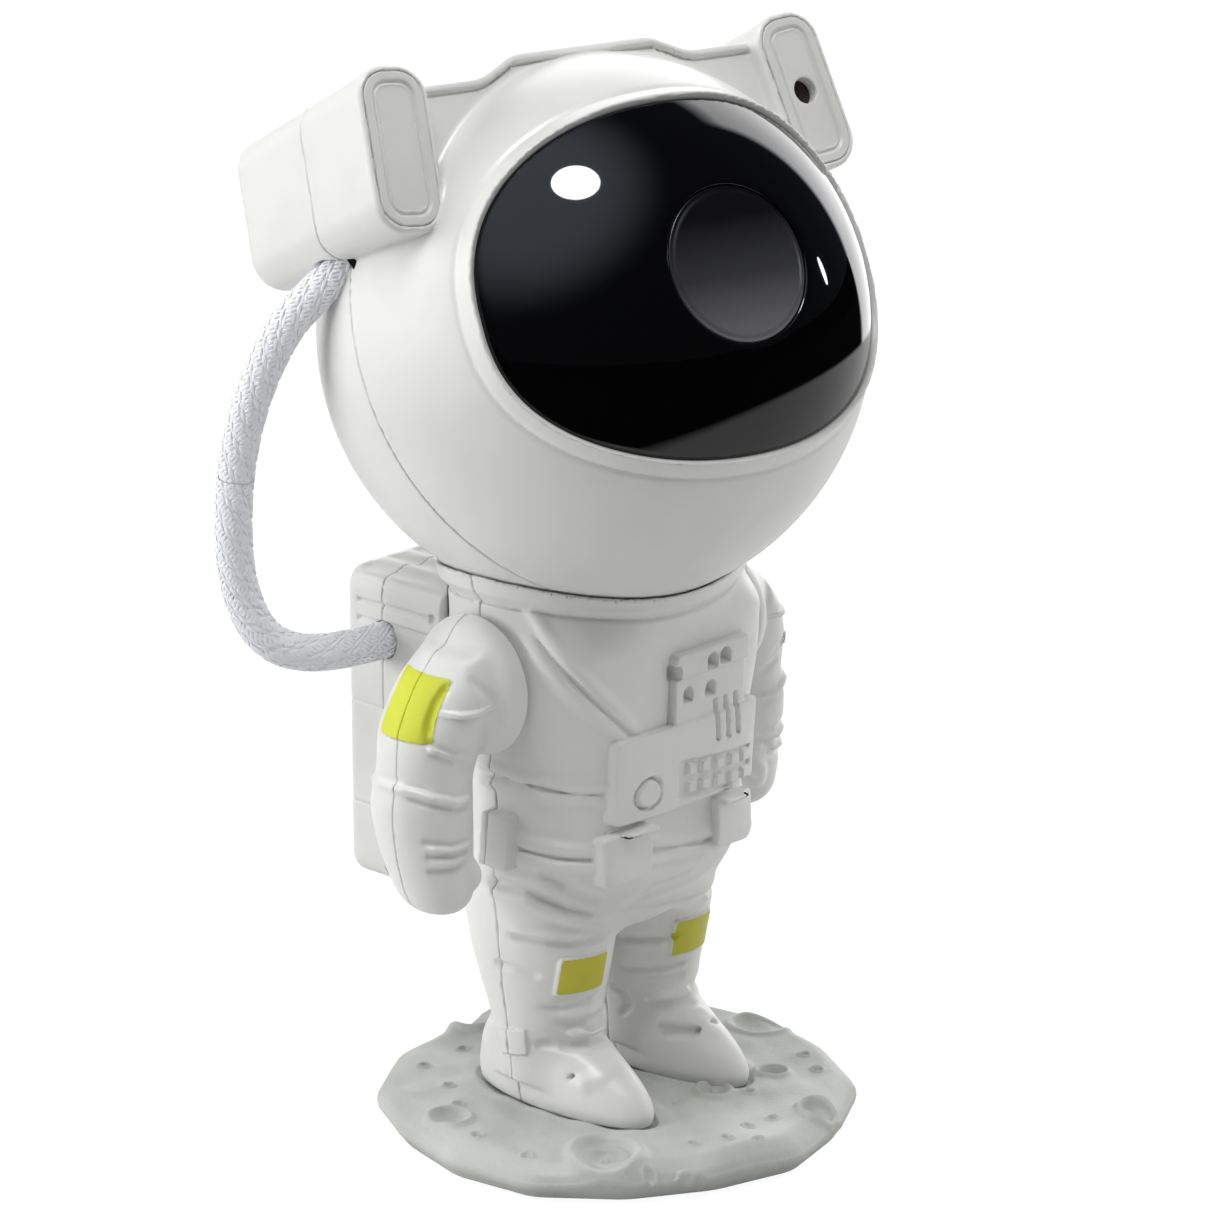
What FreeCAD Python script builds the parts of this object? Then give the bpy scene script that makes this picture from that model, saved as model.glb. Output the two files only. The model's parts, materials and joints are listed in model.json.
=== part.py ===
import FreeCAD, Part
import math
import os
import re
import Sketcher
from FreeCAD import Placement, Rotation, Vector

os.makedirs("parts", exist_ok=True)
doc = FreeCAD.newDocument("planetarium_projector")

# Driving dimensions, in millimetres and degrees
SIZES = [
    # Base
    ("base_radius", 49.8), ("base_height", 8.4), ("base_rim_height", 5.4), ("base_wall", 2.2),
    ("base_skirt_inset", 1.4), ("base_top_inset", 3.2), ("pad_radius", 42.0), ("pad_thickness", 1.0),
    ("plate_thickness", 1.6), ("plate_gap", 0.2), ("recess_depth", 1.0), ("recess_gap", 0.35),
    ("crater_depth", 0.9), ("crater_radius", 5.2),
    # Figure
    ("wall", 2.2), ("figure_back", 6.2), ("crotch_height", 46.0), ("torso_height", 81.0),
    ("torso_half_width", 34.3), ("torso_half_depth", 24.5), ("leg_spacing", 14.8),
    ("leg_back", 7.4), ("leg_top", 60.0), ("leg_half_width", 14.4), ("leg_half_depth", 17.2),
    ("boot_height", 15.6), ("boot_half_length", 23.5), ("boot_half_width", 8.6), ("boot_back", 0.7),
    ("boss_radius", 3.4), ("pilot_gap", 0.02),
    # Chest unit and belt pouches, moulded on the front
    ("unit_half_width", 18.6), ("unit_low", 76.8), ("unit_high", 90.6), ("unit_top", 103.4),
    ("unit_left", 5.0), ("unit_right", 16.2), ("unit_proud", 2.8), ("pouch_inner", 8.2),
    ("pouch_outer", 21.0), ("pouch_low", 60.0), ("pouch_high", 71.0), ("pouch_proud", 2.4),
    # Arms
    ("shoulder_height", 102.0), ("shoulder_offset", 34.7), ("shoulder_gap", 0.3),
    ("shoulder_radius", 14.6), ("shoulder_bulge", 9.2), ("arm_length", 54.5), ("arm_spread", 47.6),
    ("arm_half_width", 9.4), ("arm_half_depth", 10.8), ("arm_back", 9.5), ("arm_wall", 1.8),
    ("arm_seam_back", 8.0), ("axle_radius", 3.6), ("axle_gap", 0.05), ("axle_flange", 6.0),
    ("axle_flange_thickness", 1.4), ("axle_head", 4.6), ("axle_reach", 7.0), ("hub_wall", 2.0),
    # Backpack
    ("pack_half_width", 29.0), ("pack_bottom", 49.5), ("pack_top", 117.0), ("pack_front", 22.0),
    ("pack_seam", 38.8), ("pack_rear", 49.5), ("pack_wall", 2.0), ("pack_corner", 4.8),
    ("pack_floor", 33.0), ("torso_fit", 0.2),
    # Buttons and the power socket
    ("button_radius", 4.0), ("button_gap", 0.08), ("button_proud", 0.8), ("button_flange", 1.0),
    ("button_flange_thickness", 0.9), ("button_play", 0.15), ("button_travel", 0.5),
    ("button_low", 64.0), ("button_pitch", 12.0), ("board_thickness", 1.6), ("board_half_width", 17.0),
    ("board_half_height", 24.0), ("switch_side", 6.0), ("switch_height", 2.0), ("plunger_radius", 1.6),
    ("plunger_height", 0.5), ("socket_width", 9.0), ("socket_depth", 3.2), ("socket_length", 7.4),
    ("socket_gap", 0.2),
    # Screws
    ("screw_radius", 1.2), ("screw_head", 2.3), ("screw_head_height", 1.7), ("screw_length", 9.0),
    ("small_screw_radius", 0.9), ("small_screw_head", 1.7), ("small_screw_head_height", 1.1),
    ("small_screw_length", 5.0), ("head_gap", 0.3), ("overrun", 2.0),
    # Neck
    ("seat_gap", 0.35), ("magnet_radius", 10.0), ("magnet_thickness", 5.0), ("magnet_gap", 0.06),
    ("magnet_lift", 0.2), ("head_height", 168.6), ("head_turn", 12.0), ("head_tilt", 25.5),
    # Helmet
    ("helmet_radius", 56.0), ("helmet_wall", 3.0), ("visor_half_width", 46.2),
    ("visor_half_height", 35.8), ("visor_thickness", 1.4), ("visor_gap", 0.3), ("visor_lip", 2.6),
    ("visor_seat", 0.1), ("visor_back", 26.0), ("keeper_thickness", 1.0), ("keeper_angle", 36.0),
    ("helmet_boss_ring", 49.0), ("helmet_boss_radius", 3.6), ("helmet_boss_front", 8.0),
    ("helmet_screw_seat", 6.0),
    # Ear boxes and the bar between them
    ("ear_offset", 49.0), ("ear_height", 37.6), ("ear_half_width", 8.0), ("ear_front", 24.0),
    ("ear_rear", 28.0), ("ear_half_height", 16.8), ("ear_rear_half_height", 15.6),
    ("ear_corner", 6.6), ("ear_lean", 6.0), ("ear_wall", 2.0), ("ear_cap_thickness", 1.6),
    ("ear_cap_gap", 0.15), ("ear_cap_ledge", 1.2), ("tunnel_radius", 3.6), ("tunnel_back", 14.0),
    ("bar_front", 20.5), ("bar_rear", 18.0), ("bar_crest", 56.6), ("bar_flat_half", 17.3),
    ("bar_slope_half", 25.0), ("bar_low", 49.8), ("bar_high", 53.4), ("bar_base", 40.0),
    # Optics, counted forward from the helmet centre
    ("window_radius", 15.6), ("window_gap", 0.2), ("window_thickness", 1.8), ("barrel_front", 51.5),
    ("barrel_rear", 19.2), ("barrel_radius", 17.2), ("barrel_bore", 15.2), ("barrel_step", 14.2),
    ("barrel_shoulder", 42.9), ("barrel_flange", 27.0), ("barrel_flange_thickness", 2.0),
    ("post_radius", 2.2), ("post_ring", 24.0), ("lens_gap", 0.05), ("lens_curve", 40.0),
    ("lens_thickness", 7.0), ("bracket_radius", 43.0), ("bracket_front", 16.2),
    ("bracket_thickness", 4.0), ("bracket_bore_depth", 2.8), ("beam_radius", 10.0),
    ("bracket_hub_radius", 17.5), ("condenser_radius", 11.0), ("condenser_curve", 15.0),
    ("condenser_thickness", 5.5), ("led_board_front", 1.0), ("led_board_radius", 16.6),
    ("led_radius", 2.5), ("led_height", 1.4), ("sink_base", 2.5), ("sink_depth", 11.0),
    ("fin_thickness", 1.2), ("fin_pitch", 4.2), ("led_screw_ring", 14.2),
    ("bracket_post_across", 12.0), ("bracket_post_height", 37.5), ("bracket_post_radius", 3.0),
    # Rotating disc and its drive
    ("disc_boss_radius", 17.0), ("disc_boss_bore", 14.6), ("disc_running_gap", 0.06),
    ("disc_side_gap", 0.3), ("disc_thickness", 1.9), ("tooth_size", 0.8), ("disc_teeth", 50.0),
    ("pinion_teeth", 12.0), ("motor_radius", 6.0), ("motor_length", 19.0), ("shaft_radius", 1.0),
    ("shaft_reach", 10.0), ("shaft_gap", 0.05), ("motor_hole", 2.6),
    # Star laser
    ("laser_radius", 4.0), ("laser_length", 24.0), ("laser_front", 19.6), ("laser_gap", 0.03),
    ("grating_radius", 4.6), ("grating_thickness", 0.8), ("laser_hole", 2.5),
    ("holder_half_height", 7.0), ("holder_front", 20.8), ("holder_rear", 8.0), ("holder_fit", 0.1),
    # Driver board in the helmet
    ("head_board_back", 24.0), ("head_board_half_width", 20.0), ("head_board_half_height", 14.0),
    ("head_post_radius", 2.4), ("head_post_inset", 3.0),
    # Hose
    ("hose_diameter", 7.8), ("hose_hole_gap", 0.35), ("ferrule_wall", 1.0), ("ferrule_length", 2.6),
    ("hose_height", 102.7), ("hose_inside", 5.0),
]
ALIASES = set(name for name, value in SIZES)

sheet = doc.addObject("Spreadsheet::Sheet", "Sizes")
for row, (alias, value) in enumerate(SIZES, 1):
    sheet.set("A%d" % row, alias)
    sheet.set("B%d" % row, str(value))
    sheet.setAlias("B%d" % row, alias)
doc.recompute()

parts = {}
X = Vector(1, 0, 0)
Y = Vector(0, 1, 0)
Z = Vector(0, 0, 1)
# Unit directions as rotations that turn +Z onto them
ALONG = {"+Z": Rotation(), "-Y": Rotation(X, 90), "+Y": Rotation(X, -90),
         "+X": Rotation(Y, 90), "-X": Rotation(Y, -90), "-Z": Rotation(X, 180)}


class Lengths:
    """The sheet's values by name, as numbers."""

    def __getattr__(self, alias):
        return float(getattr(sheet, alias))


s = Lengths()


def formula(text):
    """An expression in which every alias is read from the sheet."""
    return re.sub(r"[a-z_]+", lambda m: "Sizes." + m.group() if m.group() in ALIASES else m.group(), text)


def bind(obj, **values):
    for name, text in values.items():
        obj.setExpression(name, formula(text))


def place(obj, at, turn="+Z"):
    obj.Placement = Placement(Vector(), ALONG[turn])
    for axis, text in zip("xyz", at):
        obj.setExpression("Placement.Base." + axis, formula(text))
    return obj


def cylinder(name, radius, length, at=("0", "0", "0"), turn="+Z"):
    obj = doc.addObject("Part::Cylinder", name)
    bind(obj, Radius=radius, Height=length)
    return place(obj, at, turn)


def box(name, sides, at):
    obj = doc.addObject("Part::Box", name)
    bind(obj, Length=sides[0], Width=sides[1], Height=sides[2])
    return place(obj, at)


def fuse(name, shapes):
    obj = doc.addObject("Part::MultiFuse", name)
    obj.Shapes = shapes
    return obj


def cut(name, base, tools):
    obj = doc.addObject("Part::Cut", name)
    obj.Base = base
    obj.Tool = tools[0] if len(tools) == 1 else fuse(name + "_tools", tools)
    return obj


def compound(name, shapes):
    obj = doc.addObject("Part::Compound", name)
    obj.Links = shapes
    return obj


def origin_plane(body, role):
    return [plane for plane in body.Origin.OriginFeatures if plane.Role == role][0]


def turned(name, profile):
    """A body turned about the Z axis from a closed outline of radius and height formulas."""
    body = doc.addObject("PartDesign::Body", name)
    sketch = body.newObject("Sketcher::SketchObject", name + "_profile")
    sketch.AttachmentSupport = [(origin_plane(body, "XZ_Plane"), "")]
    sketch.MapMode = "FlatFace"
    count = len(profile)
    starts = [Vector(2 + math.cos(math.tau * i / count), math.sin(math.tau * i / count), 0) for i in range(count)]
    for i in range(count):
        sketch.addGeometry(Part.LineSegment(starts[i], starts[(i + 1) % count]), False)
    for i in range(count):
        sketch.addConstraint(Sketcher.Constraint("Coincident", i, 2, (i + 1) % count, 1))
    for i, (radius, height) in enumerate(profile):
        for kind, text, value in (("DistanceX", radius, starts[i].x), ("DistanceY", height, starts[i].y)):
            index = sketch.addConstraint(Sketcher.Constraint(kind, -1, 1, i, 1, value))
            sketch.setExpression("Constraints[%d]" % index, formula(text))
    turn = body.newObject("PartDesign::Revolution", name + "_turn")
    turn.Profile = sketch
    turn.ReferenceAxis = (sketch, ["V_Axis"])
    turn.Angle = 360
    return body


def keep(node, obj, placement=None):
    """Names the finished sub-part and sets it in the row's frame."""
    obj.Label = node
    if placement is not None:
        obj.Placement = placement
    parts[node] = obj
    return obj


def keep_shape(node, shape, placement=None):
    obj = doc.addObject("Part::Feature", node + "_part")
    obj.Shape = shape
    if placement is not None:
        obj.Placement = placement
    obj.Label = node
    parts[node] = obj
    return obj


def screws(node, radius, length, head, head_height, places, placement=None):
    """Identical pan-head screws: each place is the seat of the head and the way the shank points."""
    shank, cap = [], []
    for i, (at, turn) in enumerate(places):
        shank.append(cylinder("%s_%d" % (node, i), radius, length, at, turn))
        back = {"+Z": "-Z", "-Z": "+Z", "+Y": "-Y", "-Y": "+Y", "+X": "-X", "-X": "+X"}[turn]
        cap.append(cylinder("%s_head_%d" % (node, i), head, head_height, at, back))
    pieces = [fuse("%s_screw_%d" % (node, i), [shank[i], cap[i]]) for i in range(len(places))]
    return keep(node, compound(node + "_group", pieces), placement)


# Shapes that follow the cast forms of the figure

def oval(center, half_x, half_y):
    """A closed oval in a level plane, made of four arcs."""
    curve = Part.Ellipse(Vector(), max(half_x, half_y), min(half_x, half_y))
    quarter = math.pi / 2
    arcs = [Part.ArcOfEllipse(curve, quarter * i, quarter * (i + 1)).toShape() for i in range(4)]
    wire = Part.Wire(arcs)
    if half_y > half_x:
        wire.rotate(Vector(), Z, 90)
    wire.translate(center)
    return wire


def oval_loft(rings):
    """A solid through level ovals, each a centre, a half width and a half depth."""
    return Part.makeLoft([oval(*ring) for ring in rings], True, False)


def half_space(point, normal, reach):
    """A large block on the side of the plane that the normal points to."""
    block = Part.makeBox(2 * reach, 2 * reach, reach)
    block.translate(Vector(-reach, -reach, 0))
    block.Placement = Placement(point, Rotation(Z, normal)).multiply(block.Placement)
    return block


def mirrored(shape):
    return shape.mirror(Vector(), X)


def rod(radius, start, end):
    way = end - start
    return Part.makeCylinder(radius, way.Length, start, way)


# Torso: shares of its height, half width and half depth from the crotch up
TORSO_SHARES = [
    (0.0, 0.73, 0.64), (0.10, 0.85, 0.90), (0.22, 0.87, 0.955), (0.35, 0.85, 0.95),
    (0.49, 0.90, 0.96), (0.64, 0.985, 0.98), (0.77, 1.0, 1.0), (0.87, 0.98, 1.06),
    (0.94, 1.0, 1.16), (1.0, 1.05, 1.24),
]
# Leg: shares of the leg's top height, half width and half depth, and of the leg's set back
LEG_SHARES = [
    (0.22, 0.73, 0.72, 0.9), (0.33, 0.78, 0.72, 1.0), (0.48, 0.85, 0.78, 1.0), (0.63, 0.93, 0.88, 1.0),
    (0.80, 1.0, 1.0, 1.0), (1.0, 1.0, 1.08, 1.0),
]
# Boot: shares of its height, half width, half length, and the way back to the leg's centre
BOOT_SHARES = [
    (0.0, 0.90, 0.98, 0.0), (0.20, 0.98, 1.0, 0.0), (0.45, 0.98, 0.86, 0.36), (0.72, 1.02, 0.66, 0.8),
    (1.0, 1.12, 0.52, 1.0),
]
# Arm: shares of its length down from its top, of its spread, half width, half depth and set back
ARM_SHARES = [
    (0.0, 0.83, 0.55, 0.72, 0.15), (0.13, 0.885, 0.92, 1.02, 0.25), (0.29, 0.95, 1.05, 1.06, 0.6),
    (0.45, 0.985, 1.02, 1.02, 0.85), (0.63, 1.0, 1.0, 1.0, 1.0), (0.80, 0.99, 0.94, 0.94, 1.0),
    (0.93, 0.975, 0.78, 0.80, 0.9), (1.0, 0.965, 0.45, 0.50, 0.8),
]


def torso_solid(grow):
    rings = []
    for up, wide, deep in TORSO_SHARES:
        center = Vector(0, s.figure_back, s.crotch_height + up * s.torso_height)
        rings.append((center, wide * s.torso_half_width + grow, deep * s.torso_half_depth + grow))
    return oval_loft(rings)


def leg_solid(grow):
    rings = []
    for up, wide, deep, back in LEG_SHARES:
        center = Vector(s.leg_spacing, s.leg_back * back, up * s.leg_top)
        rings.append((center, wide * s.leg_half_width + grow, deep * s.leg_half_depth + grow))
    return oval_loft(rings)


def sole_height():
    return s.base_height - s.recess_depth


def boot_rings(grow):
    rings = []
    for up, wide, long, back in BOOT_SHARES:
        along = s.boot_back + back * (s.leg_back - s.boot_back)
        center = Vector(s.leg_spacing, along, sole_height() + up * s.boot_height)
        rings.append((center, wide * s.boot_half_width + grow, long * s.boot_half_length + grow))
    return rings


def head_center():
    return Vector(0, s.figure_back, s.head_height)


def figure_shells():
    """The figure's cast body in a front and a rear half, hollow, with the head's seat on top."""
    legs = [leg_solid(0), mirrored(leg_solid(0))]
    boot = oval_loft(boot_rings(0))
    outer = torso_solid(0).fuse(legs + [boot, mirrored(boot)] + chest_relief())
    seat = Part.makeSphere(s.helmet_radius + s.seat_gap, head_center())
    bowl = Part.makeSphere(s.helmet_radius + s.seat_gap + s.wall, head_center())
    hollow = torso_solid(-s.wall).cut(bowl)
    floor = half_space(Vector(0, 0, s.crotch_height + s.wall), Z, 4 * s.torso_height)
    hollow = hollow.common(floor)
    shin = half_space(Vector(0, 0, sole_height() + s.boot_height), Z, 4 * s.torso_height)
    leg_hollow = leg_solid(-s.wall).common(shin)
    hollow = hollow.fuse([leg_hollow, mirrored(leg_hollow)])
    body = outer.cut(seat).cut(hollow)

    # Cup for the magnet under the seat
    magnet_top = s.head_height - s.helmet_radius - s.seat_gap - s.magnet_lift
    magnet_low = magnet_top - s.magnet_thickness
    cup_radius = s.magnet_radius + s.magnet_gap + s.wall
    cup_low = Vector(0, s.figure_back, magnet_low - s.wall)
    cup = Part.makeCylinder(cup_radius, s.magnet_thickness + 2 * s.wall, cup_low)
    body = body.fuse(cup.cut(seat))
    pocket_low = Vector(0, s.figure_back, magnet_low)
    body = body.cut(Part.makeCylinder(s.magnet_radius + s.magnet_gap, 2 * s.magnet_thickness, pocket_low))

    # Bosses that the screws from the rear pull together
    inside = torso_solid(-s.wall / 2).cut(bowl)
    for across, up in torso_screw_places():
        front = Vector(across, s.figure_back - s.torso_half_depth, up)
        rear = Vector(across, s.figure_back + s.torso_half_depth, up)
        body = body.fuse(rod(s.boss_radius, front, rear).common(inside))
    for up in pack_screw_heights():
        low = Vector(0, s.pack_floor - s.pack_wall - s.screw_length - s.wall, up)
        body = body.fuse(rod(s.boss_radius, low, low + Y * s.torso_half_depth).common(inside))
    seat_plane = torso_screw_seat()
    for across, up in torso_screw_places():
        head = Vector(across, seat_plane, up)
        body = body.cut(rod(s.screw_radius + s.pilot_gap, head - Y * (s.screw_length + s.head_gap), head))
        body = body.cut(rod(s.screw_head + s.head_gap, head, head + Y * s.torso_half_depth))
    for up in pack_screw_heights():
        head = Vector(0, s.pack_floor, up)
        body = body.cut(rod(s.screw_radius + s.pilot_gap, head - Y * (s.screw_length + s.head_gap), head))

    # Pilot holes for the screws that come up through the base
    for across, along in leg_screw_places():
        seat_low = Vector(across, along, leg_screw_seat())
        body = body.cut(rod(s.screw_radius + s.pilot_gap, seat_low, seat_low + Z * (s.screw_length + s.head_gap)))

    # Shoulder bores
    reach = X * (s.shoulder_offset + s.wall)
    bore = rod(s.axle_radius + s.axle_gap, shoulder_center(0) - reach, shoulder_center(0) + reach)
    body = body.cut(bore)

    split = Vector(0, s.figure_back, 0)
    keep_shape("torso_front_shell", body.common(half_space(split, -Y, 4 * s.torso_height)))
    keep_shape("torso_rear_shell", body.common(half_space(split, Y, 4 * s.torso_height)))


def chest_relief():
    """The raised pads of the chest unit and the belt pouches, which follow the torso's curve."""
    front = -s.torso_half_depth - s.unit_proud
    depth = s.torso_half_depth
    pads = [(s.unit_proud, -s.unit_half_width, s.unit_half_width, s.unit_low, s.unit_high),
            (s.unit_proud, -s.unit_left, s.unit_right, s.unit_high, s.unit_top),
            (s.pouch_proud, s.pouch_inner, s.pouch_outer, s.pouch_low, s.pouch_high),
            (s.pouch_proud, -s.pouch_outer, -s.pouch_inner, s.pouch_low, s.pouch_high)]
    shapes = []
    for proud, left, right, low, high in pads:
        window = Part.makeBox(right - left, depth, high - low, Vector(left, front, low))
        shapes.append(torso_solid(proud).common(window))
    return shapes


def shoulder_center(offset):
    return Vector(offset, s.figure_back, s.shoulder_height)


def torso_screw_places():
    low = s.crotch_height + s.torso_height / 4
    high = s.shoulder_height + s.screw_head
    across = s.torso_half_width * 2 / 3
    return [(-across, low), (across, low), (-across, high), (across, high)]


def torso_screw_seat():
    return s.figure_back + s.screw_length / 2


def pack_screw_heights():
    middle = (s.pack_bottom + s.pack_top) / 2
    return [middle - s.button_pitch, middle + s.button_pitch / 2]


def leg_screw_places():
    front = s.boot_back - s.boot_half_length / 3
    rear = s.boot_back + s.boot_half_length * 2 / 3
    return [(side * s.leg_spacing, along) for side in (-1, 1) for along in (front, rear)]


def leg_screw_seat():
    return s.base_height - s.base_wall


# Base: shares of its radius round the moon disc's uneven edge
RIM_SHARES = [1.0, 0.985, 1.02, 1.0, 0.975, 1.0, 1.015, 0.98, 1.0, 1.02, 0.985, 0.975, 1.01, 0.99, 1.02, 0.98]
# Craters: shares of the base radius across and along, and of the crater radius
CRATER_SHARES = [
    (-0.62, -0.54, 1.0), (0.15, -0.44, 0.62), (0.50, -0.47, 0.62), (0.31, -0.85, 0.8),
    (0.03, 0.84, 1.1), (0.80, -0.10, 1.0), (-0.80, 0.20, 0.9), (0.62, 0.52, 0.8),
]


def rim_wire(radius, height):
    points = []
    for i, share in enumerate(RIM_SHARES):
        angle = math.tau * i / len(RIM_SHARES)
        points.append(Vector(radius * share * math.cos(angle), radius * share * math.sin(angle), height))
    return Part.makePolygon(points + points[:1])


def base_parts():
    low = s.pad_thickness
    steps = [(s.base_radius - s.base_skirt_inset, low), (s.base_radius, s.base_rim_height),
             (s.base_radius - s.base_top_inset, s.base_height)]
    solid = Part.makeLoft([rim_wire(*step) for step in steps], True, True)
    inner_top = s.base_height - s.base_wall
    inner_radius = s.base_radius - s.base_skirt_inset - s.base_wall
    inner = Part.makeLoft([rim_wire(inner_radius, low), rim_wire(inner_radius, inner_top)], True, True)
    moon = solid.cut(inner)
    plate_top = low + s.plate_thickness
    for across, along in plate_screw_places():
        at = Vector(across, along, plate_top)
        moon = moon.fuse(rod(s.boss_radius, at, at + Z * (inner_top - plate_top + s.base_wall / 2)))
        moon = moon.cut(rod(s.small_screw_radius + s.pilot_gap, at, at + Z * plate_screw_depth()))

    # Recesses for the boots and the holes under them
    for side in (1, -1):
        ring = boot_rings(s.recess_gap)
        low_ring, high_ring = ring[0], ring[1]
        high_ring = (low_ring[0] + Z * s.base_wall, high_ring[1], high_ring[2])
        recess = oval_loft([low_ring, high_ring])
        moon = moon.cut(recess if side > 0 else mirrored(recess))
    for across, along in leg_screw_places():
        at = Vector(across, along, leg_screw_seat() - s.overrun)
        moon = moon.cut(rod(s.screw_radius + s.pilot_gap, at, at + Z * 2 * s.base_wall))

    # Craters as shallow bowls
    for across, along, share in CRATER_SHARES:
        width = share * s.crater_radius
        ball = (width ** 2 + s.crater_depth ** 2) / (2 * s.crater_depth)
        at = Vector(across * s.base_radius, along * s.base_radius, s.base_height + ball - s.crater_depth)
        moon = moon.cut(Part.makeSphere(ball, at))
    keep_shape("moon_base", moon)

    cover = Part.Face(rim_wire(inner_radius - s.plate_gap, low)).extrude(Z * s.plate_thickness)
    for across, along in plate_screw_places():
        at = Vector(across, along, low)
        cover = cover.cut(rod(s.small_screw_radius + s.pilot_gap, at, at + Z * s.plate_thickness))
        cover = cover.cut(rod(s.small_screw_head + s.pilot_gap, at, at + Z * s.small_screw_head_height))
    keep_shape("base_bottom_plate", cover)
    keep("base_pad", cylinder("foam_pad", "pad_radius", "pad_thickness"))


def plate_screw_places():
    ring = s.base_radius * 2 / 3
    angles = [math.radians(angle) for angle in (0, 180, 270)]
    return [(ring * math.cos(angle), ring * math.sin(angle)) for angle in angles]


def plate_screw_depth():
    return s.small_screw_length - s.small_screw_head_height


def text_place(at):
    return tuple(repr(value) for value in at)


def base_screws():
    low = s.pad_thickness + s.small_screw_head_height
    places = [(text_place((across, along, low)), "+Z") for across, along in plate_screw_places()]
    screws("base_plate_screws", "small_screw_radius", "small_screw_length - 2 * small_screw_head_height",
           "small_screw_head", "small_screw_head_height", places)
    seat = leg_screw_seat()
    places = [(text_place((across, along, seat)), "+Z") for across, along in leg_screw_places()]
    screws("leg_screws", "screw_radius", "screw_length", "screw_head", "screw_head_height", places)
    places = [(text_place((across, torso_screw_seat(), up)), "-Y") for across, up in torso_screw_places()]
    screws("torso_screws", "screw_radius", "screw_length", "screw_head", "screw_head_height", places)
    places = [(("0", "pack_floor", repr(up)), "-Y") for up in pack_screw_heights()]
    screws("backpack_screws", "screw_radius", "screw_length", "screw_head", "screw_head_height", places)


# Arms

def arm_rings(grow):
    top = s.shoulder_height + s.arm_length / 6
    rings = []
    for down, out, wide, deep, back in ARM_SHARES:
        center = Vector(out * s.arm_spread, s.figure_back + back * (s.arm_back - s.figure_back),
                        top - down * s.arm_length)
        rings.append((center, wide * s.arm_half_width + grow, deep * s.arm_half_depth + grow))
    return rings


def arm_solid(grow):
    curve = Part.Ellipse(Vector(), s.shoulder_radius + grow, s.shoulder_bulge + grow)
    arc = Part.ArcOfEllipse(curve, 0, math.pi / 2).toShape()
    half = Part.Face(Part.Wire([arc, Part.makeLine(arc.Vertexes[-1].Point, Vector()),
                                Part.makeLine(Vector(), arc.Vertexes[0].Point)]))
    shoulder = half.revolve(Vector(), Y, 360)
    shoulder.Placement = Placement(shoulder_center(s.shoulder_offset), Rotation(Y, X))
    inner_face = half_space(shoulder_center(s.shoulder_offset - min(grow, 0)), X, 4 * s.arm_length)
    return oval_loft(arm_rings(grow)).fuse(shoulder).common(inner_face)


def arms():
    outer = arm_solid(0)
    hollow = arm_solid(-s.arm_wall)
    hub_end = s.shoulder_offset + s.axle_reach
    hub = rod(s.axle_radius + s.hub_wall, shoulder_center(s.shoulder_offset), shoulder_center(hub_end))
    arm = outer.cut(hollow).fuse(hub.common(outer))
    arm = arm.cut(rod(s.axle_radius, shoulder_center(s.shoulder_offset - s.overrun), shoulder_center(hub_end)))
    elbow = Vector(s.arm_spread, s.arm_seam_back, s.shoulder_height - s.arm_length / 2)
    arm = arm.fuse(rod(s.boss_radius, elbow - Y * s.arm_half_depth, elbow + Y * s.arm_half_depth).common(outer))
    seat = elbow + Y * s.screw_head_height
    arm = arm.cut(rod(s.small_screw_radius + s.pilot_gap, seat - Y * s.small_screw_length, seat))
    arm = arm.cut(rod(s.small_screw_head + s.pilot_gap, seat, seat + Y * 2 * s.arm_half_depth))
    split = Vector(0, s.arm_seam_back, 0)
    front = arm.common(half_space(split, -Y, 4 * s.arm_length))
    rear = arm.common(half_space(split, Y, 4 * s.arm_length))

    # The axle turns in the torso's bore, and its flange stops it inside
    inner = s.shoulder_offset - s.axle_head
    flange = rod(s.axle_flange, shoulder_center(inner - s.axle_flange_thickness), shoulder_center(inner))
    axle = flange.fuse(rod(s.axle_radius, shoulder_center(inner), shoulder_center(hub_end)))
    for side, turn in (("left", lambda shape: shape), ("right", mirrored)):
        keep_shape(side + "_arm_front_shell", turn(front))
        keep_shape(side + "_arm_rear_shell", turn(rear))
        keep_shape(side + "_shoulder_axle", turn(axle))
        across = seat.x if side == "left" else -seat.x
        screws(side + "_arm_screw", "small_screw_radius", "small_screw_length", "small_screw_head",
               "small_screw_head_height", [(text_place((across, seat.y, seat.z)), "-Y")])


# Backpack

def rounded_block(low, high, radius):
    block = Part.makeBox(high.x - low.x, high.y - low.y, high.z - low.z, low)
    if radius <= 0:
        return block
    along = [edge for edge in block.Edges if abs(edge.tangentAt(edge.FirstParameter).y) > 0.5]
    return block.makeFillet(radius, along)


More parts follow.
